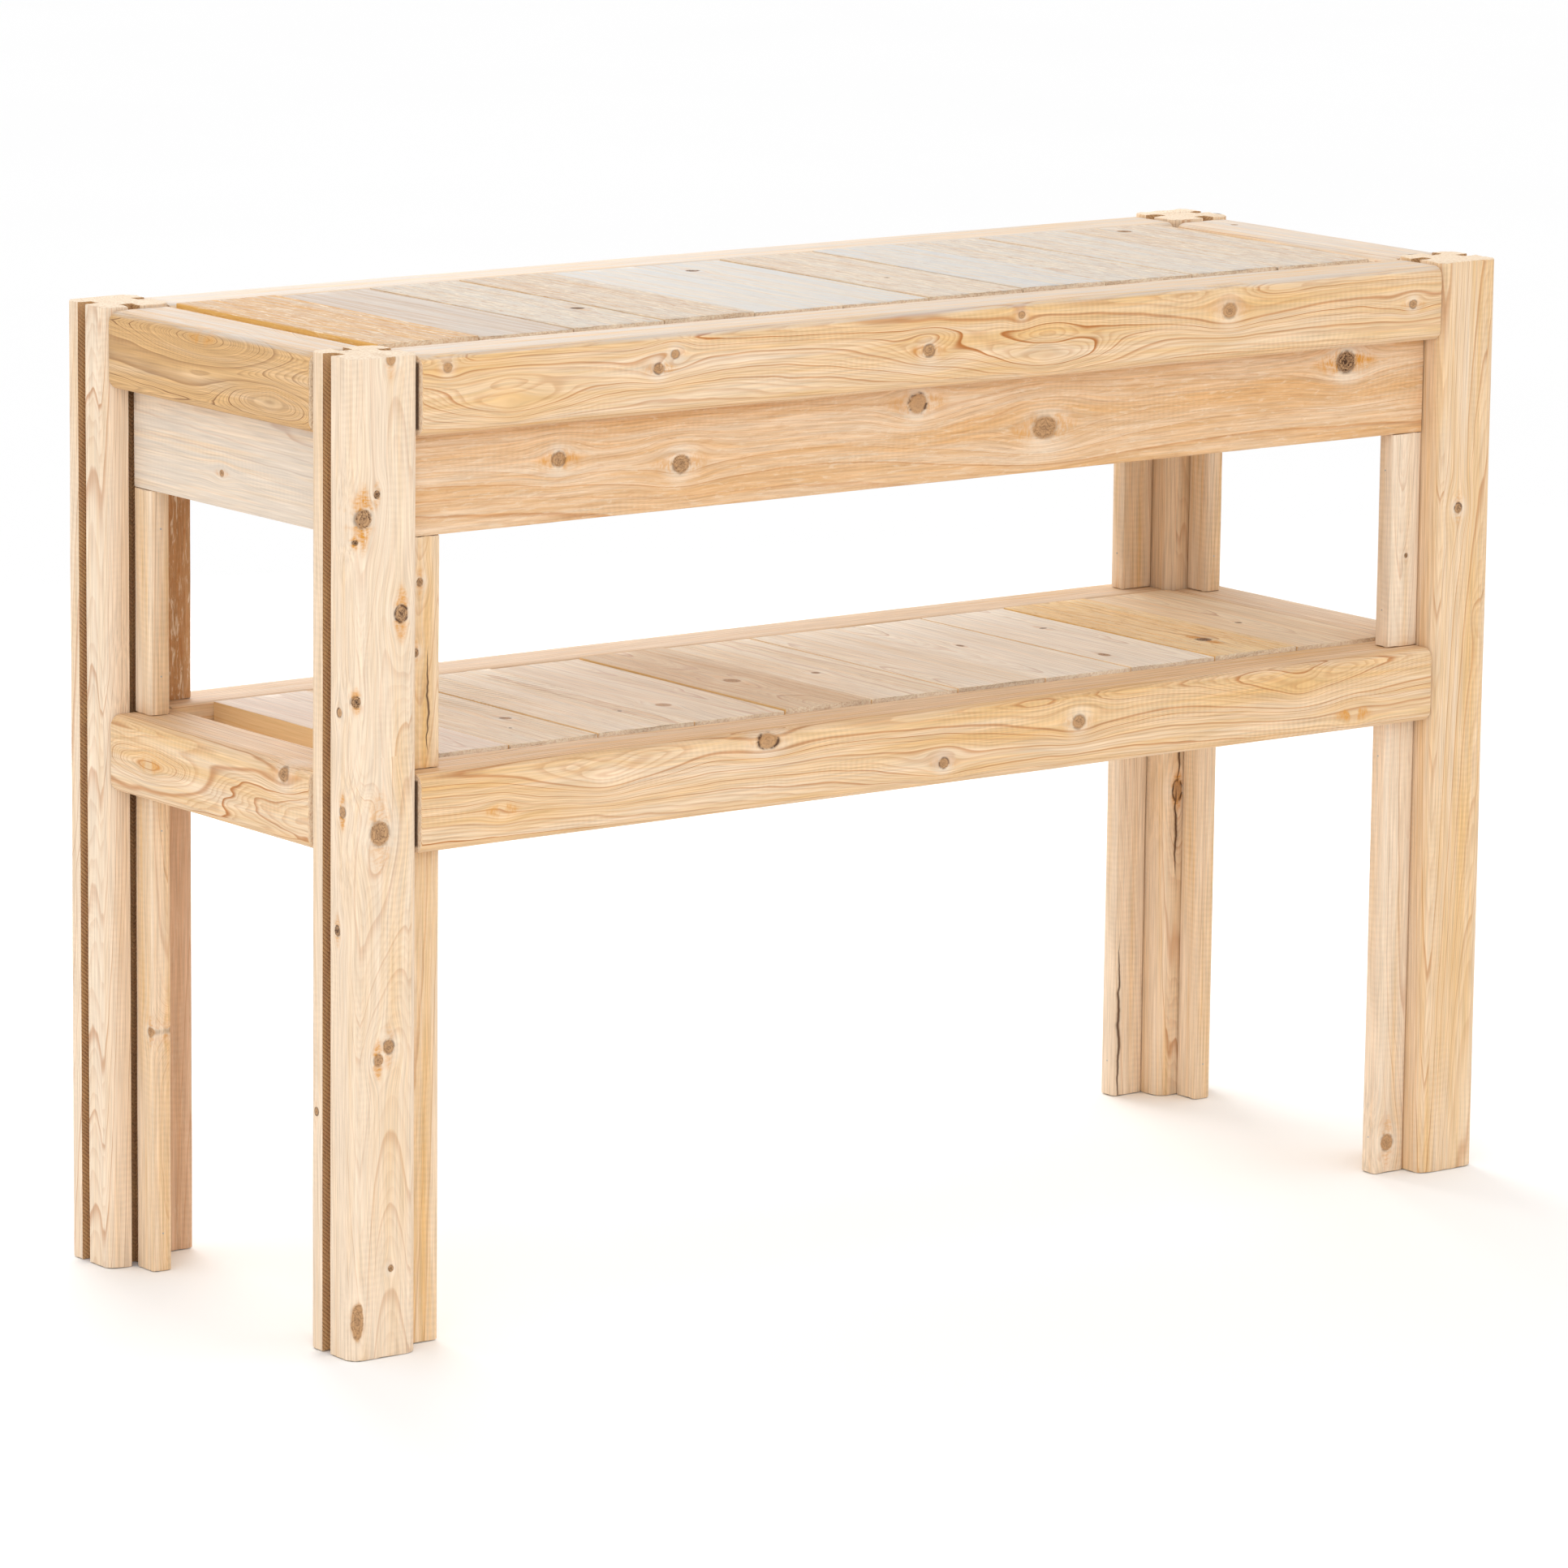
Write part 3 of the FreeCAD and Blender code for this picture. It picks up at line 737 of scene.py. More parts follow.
def timber(node, axis, corners, look, ragged=1.0, tongue=None, extra=()):
    """One timber in place of its CAD node, lofted along its grain with planed faces and torn ends."""
    sizes = bpy.context.scene.bench_sizes
    low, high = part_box(node)
    middle = (low + high) / 2
    half = [(high[i] - low[i]) / 2 for i in AXES[axis]]
    rng = np.random.default_rng(zlib.crc32(node.encode()))
    section, skins = outline(corners(half[1], half[2], middle), sizes.section_step)
    out = normals_of(section)
    reach = half[0] - (sizes.tongue_reach if tongue else 0.0)
    count = max(6, math.ceil(2 * reach / sizes.run_step))
    inner = reach - WORN_LIP
    along = np.concatenate([[-reach], np.linspace(-inner, inner, count), [reach]])
    dip = waves(rng, along, section, 0.12, 0.6) * sizes.hand_planed
    dip[[0, -1]] += WORN_LIP * 0.5
    torn = rng.uniform(0, sizes.ragged_end * ragged, size=(2, len(section)))
    rings = []
    for i, g in enumerate(along):
        station = g
        if i == 0:
            station = g + torn[0]
        elif i == len(along) - 1:
            station = g - torn[1]
        rings.append((station, section - out * dip[i][:, None]))
    if tongue:
        (a0, a1), (b0, b1) = tongue(half[1], half[2], middle)
        slim = np.column_stack([np.clip(section[:, 0], a0, a1), np.clip(section[:, 1], b0, b1)])
        slim += (section - slim) * TONGUE_CROWN
        rings = [(-half[0], slim), (-reach, slim)] + rings + [(reach, slim), (half[0], slim)]
    materials = [cedar(node.replace("_", " "), axis, middle, look), *extra]
    if "split" in look:
        upper = {**look, "knots": look["upper_knots"]}
        materials.append(cedar(node.replace("_", " ") + " upper", axis, middle, upper))
    made = loft(node + "_cedar", axis, middle, rings, skins, materials)
    if "split" in look:
        for face in made.data.polygons:
            if face.material_index == 0 and face.center.z > look["split"] * MM:
                face.material_index = len(materials) - 1
    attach(made, "root")
    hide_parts(node)
    return made


def bar(radius):
    """Section corners of a plain bar."""
    def corners(a, b, middle):
        return [(-a, -b, radius, 0), (a, -b, radius, 0), (a, b, radius, 0), (-a, b, radius, 0)]
    return corners


def post_corners(a, b, middle):
    """Section corners of a post, with grooves down its left, right and inner faces."""
    sizes = bpy.context.scene.bench_sizes
    r, w, d, inset = sizes.post_round, sizes.groove_width, sizes.groove_depth, sizes.groove_inset
    far, near = b - inset, b - inset - w
    outer = math.copysign(a - inset, middle.x)
    inner = outer - math.copysign(w, middle.x)
    low, high = sorted((outer, inner))
    front = [(-a, -b, r, 0)]
    if middle.y > 0:
        front += [(low, -b, 0, 1), (low, -b + d, 0, 1), (high, -b + d, 0, 1), (high, -b, 0, 0)]
    right = [(a, -b, r, 0), (a, near, 0, 1), (a - d, near, 0, 1), (a - d, far, 0, 1), (a, far, 0, 0)]
    back = [(a, b, r, 0)]
    if middle.y < 0:
        back += [(high, b, 0, 1), (high, b - d, 0, 1), (low, b - d, 0, 1), (low, b, 0, 0)]
    left = [(-a, b, r, 0), (-a, far, 0, 1), (-a + d, far, 0, 1), (-a + d, near, 0, 1), (-a, near, 0, 0)]
    return front + right + back + left


def long_tongue(a, b, middle):
    """Sides of the tongue of a front or back rail."""
    sizes = bpy.context.scene.bench_sizes
    far = a - sizes.groove_inset - sizes.tongue_slack
    near = a - sizes.groove_inset - sizes.groove_width + sizes.tongue_slack
    return (near, far), (-b + sizes.rail_round, b - sizes.rail_round)


def end_tongue(a, b, middle):
    """Sides of the tongue of a left or right rail, which stands nearer the post's outer face."""
    sizes = bpy.context.scene.bench_sizes
    shift = cad_high.x - (abs(middle.x) + a)
    far = a + shift - sizes.groove_inset - sizes.tongue_slack
    near = far - sizes.groove_width + 2 * sizes.tongue_slack
    span = sorted((math.copysign(near, middle.x), math.copysign(far, middle.x)))
    return tuple(span), (-b + sizes.rail_round, b - sizes.rail_round)


# ---- how each timber looks ----------------------------------------------------------------
# A pith is its taper, and its place in millimetres across and deep from the timber's middle. Spacing,
# wobble and pitch are in millimetres. A crack is its middle, the way it looks, its length and width.
# A look's grey weights paint a cool sheen on upward faces, and mix each board's own grey bloom with
# painted sheen on its top.
# The edge weight paints light on the boards' side faces.
PLAIN_LOOK = {"edge": 0.0, "shoulder": 0.0, "bloom": 0.0, "dryness": 0.45, "pitch": 7.0, "fuzz": 0.0,
              "knots": (), "cracks": ()}
PLAIN_KNOT = {"stretch": 1.1, "reach": 22, "body": 1.0, "dark": 0.35, "rim": 0.5, "swell": 0.0,
              "glow": 0.6}


def knot(x, y, z, face, radius, **own):
    """A knot: its middle in the bench's frame, the way it looks, its radius, and what sets it apart."""
    return {"spot": (x, y, z), "face": face, "radius": radius, **PLAIN_KNOT, **own}


def curl(x, y, z, face, radius, **own):
    """A place where the grain curls as it does round a knot, with no knot in it."""
    return knot(x, y, z, face, radius, **{"body": 0.0, "dark": 0.0, "rim": 0.0, "glow": 0.0, **own})


POSTS = dict(
    post_front_left=dict(
        pith=(0.030, 6, 62), spacing=3.0, wobble=5, contrast=0.34, warmth=0.18, split=600,
        knots=[
            knot(-708, -264, 530, "y", 12, rim=0.4, swell=8),
            knot(-697, -264, 315, "y", 7, rim=0.6, glow=0.4),
            knot(-709, -264, 303, "y", 6, dark=0.3, rim=0.4, glow=0.8),
            knot(-694, -264, 90, "y", 3.5, dark=0.5, glow=0.2),
            knot(-732, -260, 40, "y", 6, dark=0.30, rim=0.1, glow=0.2, stretch=3.6, reach=12),
            knot(-740, -246, 552, "x", 5.5, dark=0.3, rim=0.6, glow=0.8),
            knot(-740, -237, 432, "x", 5, dark=0.8, rim=0.9),
            knot(-740, -200, 243, "x", 4, dark=0.3, rim=0.8, glow=0.2),
        ],
        upper_knots=[
            knot(-727, -264, 843, "y", 9, dark=0.5, rim=0.55, glow=1.0, swell=6),
            knot(-712, -264, 866, "y", 4, dark=0.7, rim=0.4, glow=0.8),
            knot(-735, -264, 820, "y", 2.5, dark=0.9, glow=0.9),
            knot(-683, -256, 746, "y", 8, dark=0.5, rim=1.0, glow=0.8, reach=30, swell=4),
            knot(-734, -262, 663, "y", 4, dark=0.7, glow=0.8, stretch=1.6),
            knot(-696, -262, 997, "y", 6, dark=0.2, rim=0.3, glow=0.4),
            knot(-740, -240, 650, "x", 4.5, dark=0.2, rim=0.9, glow=0.3),
            knot(-708, -264, 530, "y", 12, rim=0.4, swell=8),
        ]),
    post_front_right=dict(
        pith=(0.020, 26, 50), spacing=3.2, wobble=7, contrast=0.64, warmth=0.5,
        knots=[knot(690, -264, 733, "y", 5.5, dark=0.45, rim=0.9, swell=4),
                  knot(740, -214, 352, "x", 7, swell=5), knot(740, -245, 610, "x", 5, rim=0.8)]),
    post_back_left=dict(
        pith=(0.026, 70, -12), spacing=3.3, wobble=11, contrast=0.61, warmth=0.14,
        knots=[
            knot(-740, 161, 621, "x", 9, dark=0.55, glow=0.9, swell=5),
            knot(-740, 140, 224, "x", 8, dark=0.55, rim=0.6, glow=0.9, swell=5),
            knot(-740, 145, 130, "x", 3, dark=0.3, rim=0.3, glow=0.5),
            knot(-706, 264, 410, "y", 8, swell=5),
        ]),
    post_back_right=dict(
        pith=(0.018, -20, 46), spacing=3.2, wobble=12, contrast=0.61, warmth=0.34,
        knots=[knot(679, 184, 352, "y", 7, dark=0.15, rim=1.0, glow=0.9, stretch=1.8, swell=6)],
        cracks=[((677, 184, 306), "y", 90, 2.2), ((680, 184, 396), "y", 60, 1.8)]),
)
RAILS = dict(
    top_rail_front=dict(
        pith=(0.012, 52, -36), spacing=4.5, wobble=12, contrast=1.15, warmth=0.58, ripple=0.8,
        knots=[
            knot(-629, -264, 984, "y", 5, dark=0.2, glow=0.3),
            knot(-375, -264, 964, "y", 6, dark=0.3, rim=0.7, swell=5),
            knot(-355, -264, 977, "y", 5, dark=0.2, glow=0.3),
            knot(-35, -264, 957, "y", 7, dark=0.3, rim=0.6, glow=0.5, swell=7),
            knot(85, -264, 985, "y", 4, dark=0.2, glow=0.3),
            knot(363, -264, 970, "y", 9, dark=0.25, rim=0.35, glow=0.4, swell=8),
            knot(618, -264, 959, "y", 5, dark=0.3, rim=0.6, glow=0.5, swell=4),
            curl(119, -264, 940, "y", 9, swell=16, reach=6),
            curl(-554, -264, 945, "y", 8, swell=12, reach=6),
        ]),
    top_rail_left=dict(
        pith=(0.020, 52, 6), spacing=2.4, wobble=10, contrast=1.2, line=paint(132, 86, 46),
        warmth=0.9, honey=paint(214, 172, 118), ripple=0.6,
        knots=[curl(-738, 10, 990, "x", 7, glow=0.5, swell=36, stretch=2.0),
                  curl(-738, -116, 940, "x", 6, swell=18)]),
    top_rail_back=dict(
        knots=[knot(-420, 264, 952, "y", 7, glow=0.5, swell=5), knot(130, 264, 978, "y", 5, rim=0.8),
                  knot(505, 264, 948, "y", 8, glow=0.5, swell=6)],
        pith=(0.012, -50, 8), spacing=4.3, wobble=14, contrast=0.71, warmth=0.4),
    top_rail_right=dict(
        pith=(0.014, -40, 34), spacing=5.1, wobble=16, contrast=0.79, warmth=0.25,
        knots=[knot(704, 136, 997, "z", 4, dark=0.4, rim=0.6, glow=0.3)]),
    shelf_rail_front=dict(
        pith=(0.010, 46, -38), spacing=4.2, wobble=12, contrast=1.15, warmth=0.58, ripple=0.9,
        knots=[
            knot(-234, -264, 573, "y", 8, dark=0.2, rim=1.0, glow=0.4, stretch=1.7, reach=10),
            knot(-8, -264, 527, "y", 6, dark=0.3, rim=0.8, glow=0.4, swell=4),
            knot(170, -264, 552, "y", 8, dark=0.3, glow=0.5, swell=8),
            curl(-435, -264, 560, "y", 8, swell=16, reach=6),
            curl(-562, -264, 537, "y", 6, glow=0.8, reach=6),
            curl(548, -264, 522, "y", 7, glow=0.9, reach=6),
            curl(475, -264, 560, "y", 9, swell=15, reach=6),
        ]),
    shelf_rail_left=dict(
        pith=(0.014, 50, -10), spacing=3.8, wobble=20, contrast=1.09, warmth=0.5, ripple=0.8,
        knots=[
            knot(-738, -138, 572, "x", 8, glow=0.3),
            curl(-738, 109, 542, "x", 7, glow=0.9, swell=16),
        ]),
    shelf_rail_back=dict(
        knots=[knot(-250, 264, 540, "y", 8, swell=6), knot(330, 264, 561, "y", 6, rim=0.8)],
        pith=(0.010, -48, 12), spacing=4.2, wobble=14, contrast=0.64, warmth=0.35),
    shelf_rail_right=dict(
        knots=[knot(738, 60, 548, "x", 7, glow=0.5, swell=5)],
        pith=(0.012, -46, -12), spacing=4.5, wobble=14, contrast=0.64,
                         warmth=0.22, ripple=1.0),
)
APRONS = dict(
    apron_front=dict(
        pith=(0.010, 62, -52), spacing=4.8, wobble=12, contrast=0.46, warmth=0.68,
        honey=paint(216, 168, 114), fuzz=0.35,
        knots=[
            knot(-477, -232, 878, "y", 8, dark=0.3, rim=0.6, glow=0.7, swell=6),
            knot(-327, -232, 861, "y", 10, rim=0.6, glow=0.8, swell=8),
            knot(-28, -232, 899, "y", 11, dark=0.15, rim=0.95, glow=0.7, swell=8),
            knot(139, -232, 861, "y", 13, dark=0.3, rim=0.3, glow=0.8, swell=16, stretch=1.3),
            knot(549, -232, 899, "y", 12, dark=0.75, rim=0.7, glow=1.0, swell=12),
        ]),
    apron_left=dict(pith=(0.014, 60, 46), spacing=4.9, wobble=20, contrast=0.32, warmth=0.05,
                    bloom=0.35,
                   knots=[knot(-708, 19, 850, "x", 4, dark=0.3, rim=0.2, glow=0.5, swell=5)]),
    apron_back=dict(
        knots=[knot(-120, 232, 880, "y", 10, glow=0.7, swell=8),
               knot(400, 232, 862, "y", 8, rim=0.8)],
        pith=(0.012, -70, 10), spacing=4.8, wobble=16, contrast=0.57, warmth=0.4),
    apron_right=dict(
        knots=[knot(708, -50, 868, "x", 7, swell=5)],
        pith=(0.012, -70, -20), spacing=4.8, wobble=16, contrast=0.51, warmth=0.35),
)
CLEATS = dict(
    cleat_lower_front_right_x=dict(warmth=0.12, knots=[
        knot(635, -232, 34, "y", 9, dark=0.25, swell=5)]),
    cleat_upper_front_right_x=dict(warmth=0.08, knots=[
        knot(641, -232, 682, "y", 2.5, dark=0.7, glow=0.2)]),
    cleat_upper_front_left_x=dict(warmth=0.55, knots=[
        knot(-643, -232, 770, "y", 4, dark=0.5, rim=0.6),
        knot(-648, -232, 700, "y", 4, dark=0.5, rim=0.6)],
        cracks=[((-633, -232, 650), "y", 90, 1.2)]),
    cleat_lower_front_left_x=dict(warmth=0.5),
    cleat_lower_back_left_y=dict(warmth=0.35, knots=[
        knot(-708, 155, 253, "x", 5, dark=0.3, rim=0.4, glow=0.8, swell=4)]),
    cleat_upper_back_left_y=dict(warmth=0.3),
    cleat_upper_back_left_x=dict(warmth=0.7, fuzz=0.9, pale=paint(214, 172, 130),
                                honey=paint(190, 142, 96)),
    cleat_lower_back_left_x=dict(warmth=0.4, pale=paint(214, 178, 148), honey=paint(190, 150, 114)),
    cleat_lower_back_right_x=dict(warmth=0.12, cracks=[((624, 232, 80), "y", 170, 2.2)]),
)
# The boards' grey weights give each board its own grey bloom, together with painted sheen on its top.
TOP_BOARDS = [
    # The first board's edge weight paints more light on its side faces.
    dict(warmth=0.85, fuzz=1.0, bloom=0.0, edge=0.6, pale=paint(226, 198, 154),
         honey=paint(216, 164, 96),
     line=paint(190, 120, 44)),
    dict(warmth=0.45, fuzz=0.12, bloom=0.45, pale=paint(190, 170, 148), honey=paint(172, 140, 108)),
    dict(warmth=0.10, fuzz=0.85, bloom=0.55,
     knots=[knot(-331, -62, 998, "z", 7, dark=1.0, rim=1.0, glow=0.4, stretch=0.9)]),
    dict(warmth=0.35, fuzz=0.85, bloom=0.35),
    dict(warmth=0.0, fuzz=0.2, bloom=0.95),
    dict(warmth=0.05, fuzz=0.2, bloom=0.95,
     knots=[knot(-51, 123, 998, "z", 8, dark=1.0, rim=1.0, glow=0.4, stretch=0.8)]),
    dict(warmth=0.20, fuzz=0.7, bloom=0.45,
     knots=[knot(85, -36, 998, "z", 3, dark=0.6, glow=0.3)]),
    dict(warmth=0.0, fuzz=0.4, bloom=1.0),
    dict(warmth=0.12, fuzz=0.8, bloom=0.65),
    dict(warmth=0.15, fuzz=0.6, bloom=0.70),
    dict(warmth=0.30, fuzz=0.8, bloom=0.50,
     knots=[knot(554, 145, 998, "z", 8, dark=0.6, rim=0.4, glow=0.2)]),
]
# The shelf boards' pale and honey colours here are lighter than the worktop's. This is painted light
# under the worktop, laid over each board's own tone.
SHELF_BOARDS = [
    dict(warmth=0.25, pale=paint(238, 224, 208), honey=paint(216, 188, 162)),
    dict(warmth=0.42, ripple=3.0, fuzz=0.35, contrast=0.38,
     knots=[knot(-415, -58, 585, "z", 6, dark=0.3, rim=0.6, glow=0.3),
               knot(-443, -107, 585, "z", 2, dark=1.0, glow=0.2)]),
    dict(warmth=0.38, ripple=3.0, fuzz=0.3, contrast=0.38,
     knots=[knot(-297, -93, 585, "z", 2.5, dark=1.0, glow=0.3)]),
    dict(warmth=0.35, bloom=0.15, pale=paint(240, 226, 204), honey=paint(218, 189, 152),
     knots=[knot(-237, -87, 585, "z", 9, dark=0.15, rim=0.15, glow=0.2, swell=10)]),
    dict(warmth=0.60, bloom=0.1, fuzz=0.3, pale=paint(238, 220, 192), honey=paint(214, 180, 138),
     knots=[knot(-99, -19, 585, "z", 10, dark=0.25, rim=0.1, glow=0.3, swell=10)]),
    dict(warmth=0.40, bloom=0.1, fuzz=0.3,
     knots=[knot(6, -25, 585, "z", 5, dark=0.4, rim=0.3, glow=0.2)]),
    dict(warmth=0.30, bloom=0.15, fuzz=0.1),
    dict(warmth=0.10, bloom=0.15,
     knots=[knot(237, 23, 585, "z", 4, dark=0.6, rim=0.3, glow=0.4, stretch=1.6)]),
    dict(warmth=0.05, bloom=0.15,
     knots=[knot(330, -108, 585, "z", 6, rim=0.3, glow=0.3, stretch=1.6),
               knot(379, 58, 585, "z", 5, dark=0.8, rim=0.3, glow=0.4, stretch=0.7)]),
    dict(warmth=0.75, fuzz=0.7, pale=paint(250, 236, 200), honey=paint(244, 206, 144),
     knots=[knot(477, -97, 585, "z", 9, dark=0.8, glow=1.0)]),
    dict(warmth=0.45, pale=paint(246, 228, 198), honey=paint(232, 196, 150),
     knots=[knot(583, -29, 585, "z", 4, dark=0.7, glow=0.4)]),
]


def look_for(node, table, base):
    """A timber's own look over the look that its kind shares, with a pith drawn if it has none."""
    rng = np.random.default_rng(zlib.crc32(node.encode()) + 1)
    taper, across = rng.uniform(-0.03, 0.03), rng.uniform(-50, 50)
    deep = rng.choice([-1, 1]) * rng.uniform(45, 90)
    return {"pith": (taper, across, deep), **base, **table.get(node, {})}


# ---- operators ----------------------------------------------------------------------------
class BENCH_OT_posts(bpy.types.Operator):
    """Build the four grooved posts"""
    bl_idname = "bench.posts"
    bl_label = "Posts"
    bl_options = {"REGISTER", "UNDO"}

    def execute(self, context):
        for node, look in POSTS.items():
            low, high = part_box(node)
            wall = groove_wall(node.replace("_", " ") + " groove", (low + high) / 2)
            look = look_for(node, POSTS, {"ripple": 0.6})
            timber(node, "z", post_corners, look, extra=[wall])
        return {"FINISHED"}


class BENCH_OT_rails(bpy.types.Operator):
    """Build the square rails that carry the worktop and the shelf"""
    bl_idname = "bench.rails"
    bl_label = "Rails"
    bl_options = {"REGISTER", "UNDO"}

    def execute(self, context):
        sizes = context.scene.bench_sizes
        for node in RAILS:
            endwise = node.endswith(("left", "right"))
            # The shoulder weight paints shade in the middle of each rail's shoulder, where it meets its
            # post.
            # The upward faces of the worktop rails get painted sheen. The shelf rails, under the
            # worktop, get none.
            base = {"ripple": 0.7, "shoulder": 1.0, "dryness": 0.0 if node.startswith("shelf") else 0.6}
            axis, tongue = ("y", end_tongue) if endwise else ("x", long_tongue)
            timber(node, axis, bar(sizes.rail_round), look_for(node, RAILS, base),
                   ragged=0.4, tongue=tongue)
        return {"FINISHED"}


class BENCH_OT_aprons(bpy.types.Operator):
    """Build the boards under the worktop rails"""
    bl_idname = "bench.aprons"
    bl_label = "Aprons"
    bl_options = {"REGISTER", "UNDO"}

    def execute(self, context):
        sizes = context.scene.bench_sizes
        for node in APRONS:
            axis = "y" if node.endswith(("left", "right")) else "x"
            look = look_for(node, APRONS, {"ripple": 0.5})
            timber(node, axis, bar(sizes.board_arris), look)
        return {"FINISHED"}


class BENCH_OT_cleats(bpy.types.Operator):
    """Build the upright strips beside the posts"""
    bl_idname = "bench.cleats"
    bl_label = "Cleats"
    bl_options = {"REGISTER", "UNDO"}

    def execute(self, context):
        sizes = context.scene.bench_sizes
        base = {"spacing": 2.4, "wobble": 8, "contrast": 0.42, "warmth": 0.30, "ripple": 0.6,
                "fuzz": 0.12}
        for node in sorted(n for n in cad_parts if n.startswith("cleat")):
            timber(node, "z", bar(sizes.cleat_round), look_for(node, CLEATS, base))
        return {"FINISHED"}


class BENCH_OT_worktop(bpy.types.Operator):
    """Build the boards of the worktop"""
    bl_idname = "bench.worktop"
    bl_label = "Worktop boards"
    bl_options = {"REGISTER", "UNDO"}

    def execute(self, context):
        sizes = context.scene.bench_sizes
        # Painted shade: the worktop boards' pale and honey are darker than the shelf boards', to offset
        # the back lamp's light on the worktop.
        # The edge weight paints light on the side faces of the worktop boards.
        base = {"spacing": 3.6, "wobble": 16, "contrast": 0.40, "warmth": 0.2, "ripple": 0.3,
                "edge": 0.25, "pale": paint(214, 197, 174), "honey": paint(204, 160, 110)}
        for i, own in enumerate(TOP_BOARDS):
            node = f"top_board_{i + 1:02d}"
            look = look_for(node, {node: own}, base)
            timber(node, "y", bar(sizes.board_arris), look, ragged=2.0)
        return {"FINISHED"}


class BENCH_OT_shelf(bpy.types.Operator):
    """Build the boards of the shelf"""
    bl_idname = "bench.shelf"
    bl_label = "Shelf boards"
    bl_options = {"REGISTER", "UNDO"}

    def execute(self, context):
        sizes = context.scene.bench_sizes
        # Painted light: the shelf boards' pale and honey are lighter than the worktop's, standing in
        # for the light that the worktop above keeps off the shelf.
        # The edge weight paints light on the side faces of the shelf boards.
        # The upward faces of the shelf boards get a little painted sheen.
        base = {"spacing": 3.6, "wobble": 16, "contrast": 0.55, "warmth": 0.35, "ripple": 0.4,
                "edge": 0.6, "dryness": 0.12,
                "pale": paint(248, 238, 221), "honey": paint(234, 204, 160)}
        for i, own in enumerate(SHELF_BOARDS):
            node = f"shelf_board_{i + 1:02d}"
            look = look_for(node, {node: own}, base)
            timber(node, "y", bar(sizes.board_arris), look, ragged=2.0)
        return {"FINISHED"}


class BENCH_OT_ledgers(bpy.types.Operator):
    """Build the strips that carry the boards"""
    bl_idname = "bench.ledgers"
    bl_label = "Ledgers"
    bl_options = {"REGISTER", "UNDO"}

    def execute(self, context):
        sizes = context.scene.bench_sizes
        base = {"spacing": 4.0, "wobble": 10, "contrast": 0.35, "warmth": 0.4, "ripple": 0.5,
                "fuzz": 0.3}
        for node in ("top_ledger_front", "top_ledger_back", "shelf_ledger_front", "shelf_ledger_back"):
            timber(node, "x", bar(sizes.board_arris), look_for(node, {}, base))
        return {"FINISHED"}


class BENCH_OT_fasteners(bpy.types.Operator):
    """Finish the screws and brads"""
    bl_idname = "bench.fasteners"
    bl_label = "Screws and brads"
    bl_options = {"REGISTER", "UNDO"}

    def execute(self, context):
        colours = context.scene.bench_colours
        finishes = (("wood_screws", "zinc plate", colours.zinc),
                    ("brads", "bright wire", colours.steel))
        for node, label, base in finishes:
            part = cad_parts[node]
            part.data.materials.clear()
            part.data.materials.append(fastener_metal(label, base))
        return {"FINISHED"}


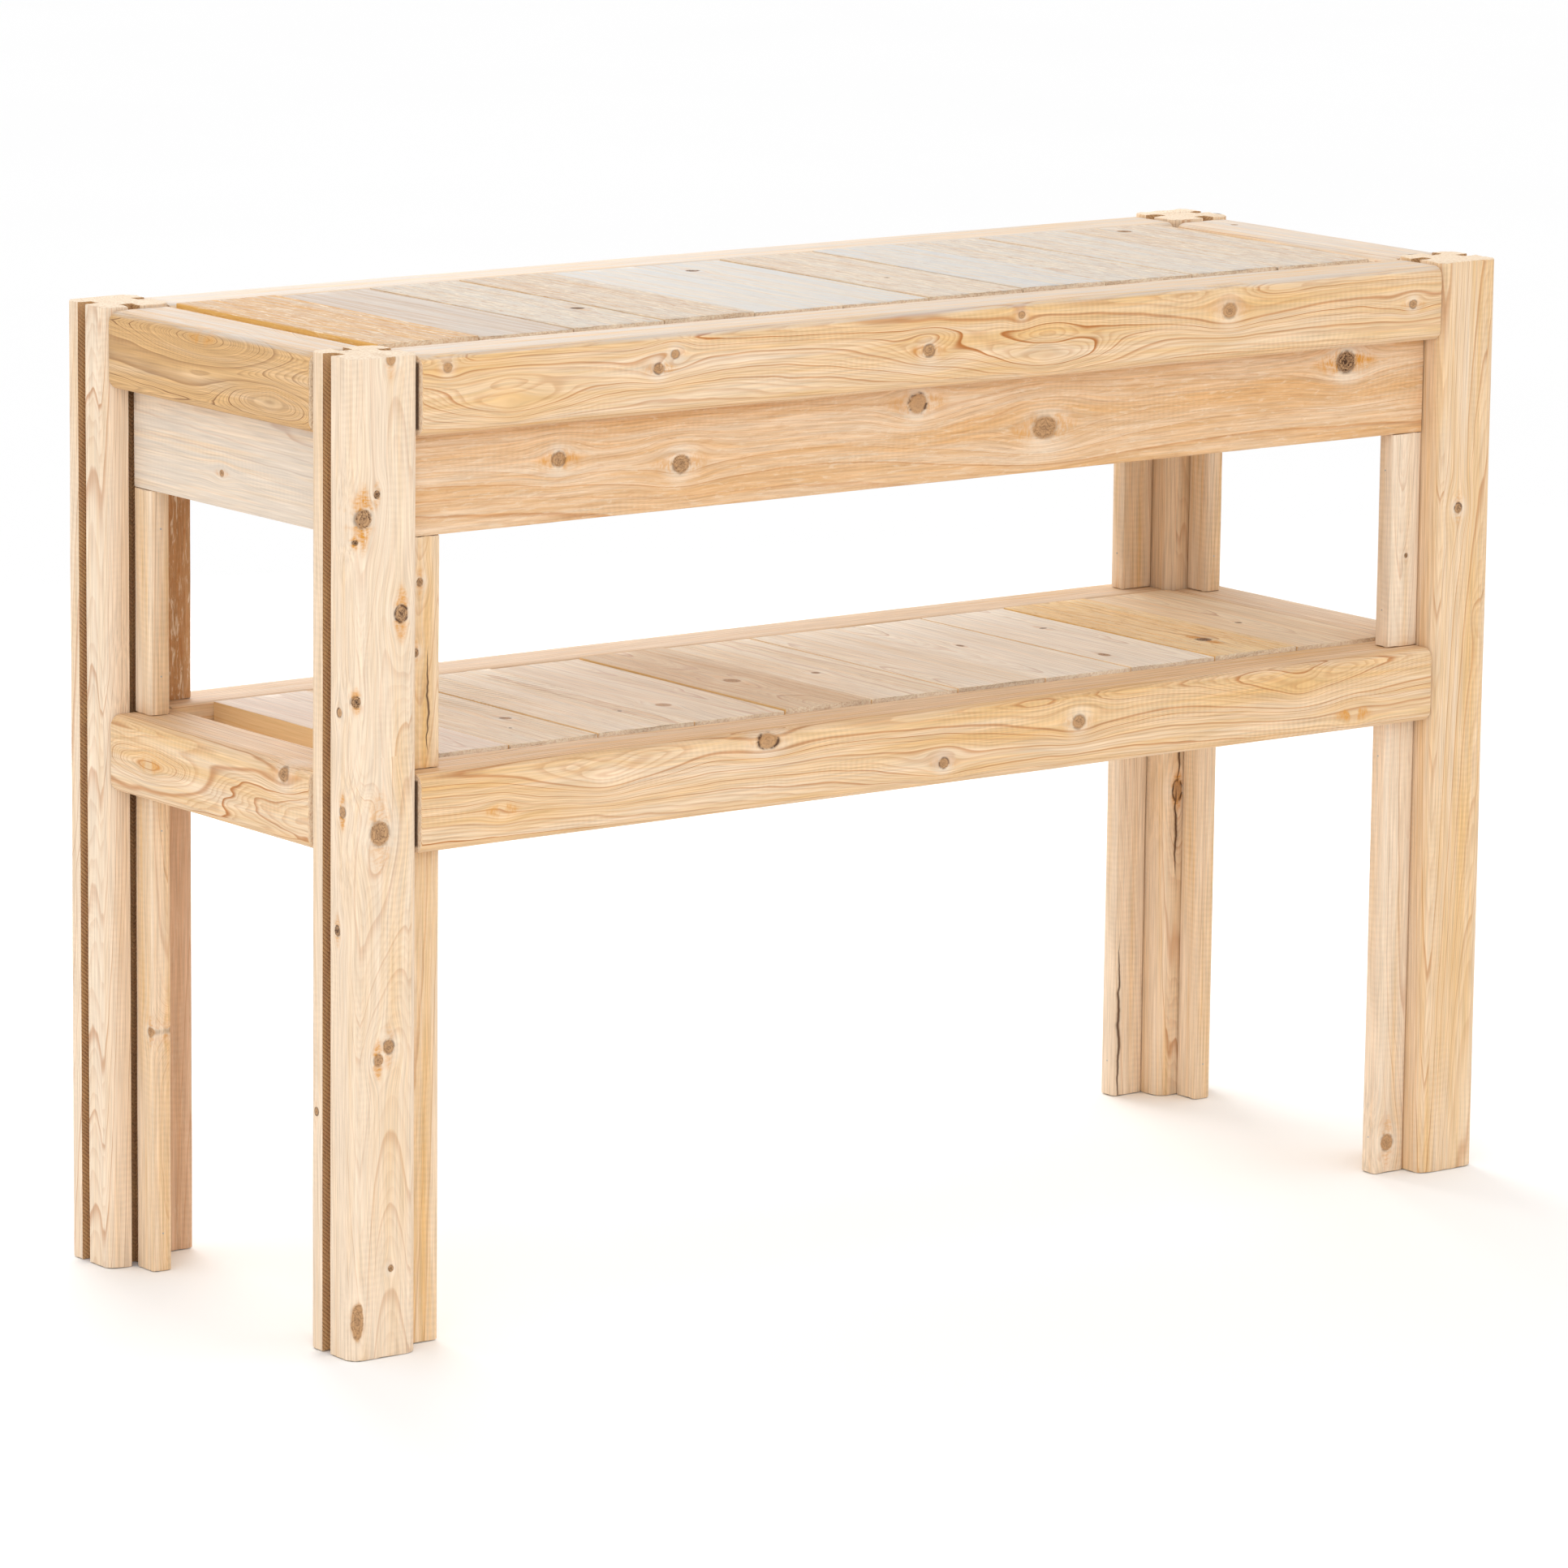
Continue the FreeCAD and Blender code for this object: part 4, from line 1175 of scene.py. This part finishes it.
class BENCH_OT_stage(bpy.types.Operator):
    """Build the floor, the room light and the camera"""
    bl_idname = "bench.stage"
    bl_label = "Stage"
    bl_options = {"REGISTER", "UNDO"}

    def execute(self, context):
        scene = context.scene
        stage = scene.bench_stage
        mesh = bpy.data.meshes.new("studio_floor")
        angles = np.linspace(0, math.tau, FLOOR_SIDES + 1)[:-1]
        rim = [(FLOOR_RADIUS * math.cos(t), FLOOR_RADIUS * math.sin(t), -FLOOR_DROP) for t in angles]
        mesh.from_pydata(rim, [], [tuple(range(FLOOR_SIDES))])
        floor = bpy.data.objects.new("studio_floor", mesh)
        scene.collection.objects.link(floor)
        material, build = new_material("studio floor")
        point = build.add("ShaderNodeTexCoord")["Object"]
        cloud = build.noise(point, (0.8, 0.8, 0.8), 3.0)
        base = tuple(scene.bench_colours.floor)
        dull = tuple(value * 0.96 for value in base)
        tone = build.mix(build.step(cloud, 0.3, 0.7, 0.0, 0.2), base, dull)
        skin = {"Colour": tone, "Roughness": build.step(cloud, 0.2, 0.8, 0.8, 0.95), "Height": cloud}
        surface(material, skin, FLOOR_RELIEF)
        mesh.materials.append(material)

        world = bpy.data.worlds.new("white room")
        world.use_nodes = True
        shade = world.node_tree.nodes["Background"]
        shade.inputs["Color"].default_value = (1.0, 1.0, 1.0, 1.0)
        shade.inputs["Strength"].default_value = stage.sky
        scene.world = world

        lights = (
            ("key light", (-3.6, -4.2, 3.0), 3.2, stage.key_power),
            ("back light", (0.9, 3.4, 1.7), 2.6, stage.back_power),
        )
        for name, place, width, power in lights:
            data = bpy.data.lights.new(name, "AREA")
            data.shape = "SQUARE"
            data.size = width
            data.energy = power
            lamp = bpy.data.objects.new(name, data)
            lamp.location = place
            lamp.rotation_mode = "QUATERNION"
            lamp.rotation_quaternion = (AIM - Vector(place)).to_track_quat("-Z", "Y")
            scene.collection.objects.link(lamp)

        data = bpy.data.cameras.new("camera")
        data.lens = stage.lens
        data.sensor_width = SENSOR_MM
        data.clip_end = FURTHEST
        camera = bpy.data.objects.new("camera", data)
        turn, pitch = stage.camera_turn, stage.camera_pitch
        level = math.cos(pitch)
        sight = -Vector((math.sin(turn) * level, -math.cos(turn) * level, math.sin(pitch)))
        camera.location = stage.camera_place
        camera.rotation_mode = "QUATERNION"
        roll = Quaternion((0, 0, 1), stage.camera_roll)
        camera.rotation_quaternion = sight.to_track_quat("-Z", "Y") @ roll
        scene.collection.objects.link(camera)
        scene.camera = camera
        scene.view_settings.view_transform = "Standard"
        scene.view_settings.look = "None"
        return {"FINISHED"}


class BENCH_PT_panel(bpy.types.Panel):
    """Lists the builders and what they take"""
    bl_idname = "BENCH_PT_panel"
    bl_label = "Potting bench"
    bl_space_type = "VIEW_3D"
    bl_region_type = "UI"
    bl_category = "Potting bench"

    def draw(self, context):
        layout = self.layout
        for operator in OPERATORS:
            layout.operator(operator.bl_idname)
        for name in GROUPS:
            group = getattr(context.scene, name)
            box = layout.box()
            for key in group.__annotations__:
                box.prop(group, key)


OPERATORS = (BENCH_OT_stage, BENCH_OT_posts, BENCH_OT_rails, BENCH_OT_aprons, BENCH_OT_cleats,
             BENCH_OT_worktop, BENCH_OT_shelf, BENCH_OT_ledgers, BENCH_OT_fasteners)
GROUPS = {"bench_sizes": BenchSizes, "bench_colours": BenchColours, "bench_stage": BenchStage}


def register():
    for kind in (*GROUPS.values(), *OPERATORS, BENCH_PT_panel):
        bpy.utils.register_class(kind)
    for name, kind in GROUPS.items():
        setattr(bpy.types.Scene, name, PointerProperty(type=kind))


def unregister():
    for name in GROUPS:
        delattr(bpy.types.Scene, name)
    for kind in reversed((*GROUPS.values(), *OPERATORS, BENCH_PT_panel)):
        bpy.utils.unregister_class(kind)


def main():
    register()
    for operator in OPERATORS:
        name = operator.bl_idname.split(".")[1]
        if getattr(bpy.ops.bench, name)() != {"FINISHED"}:
            raise RuntimeError("the builder for " + name + " didn't finish")


if __name__ == "__main__":
    main()
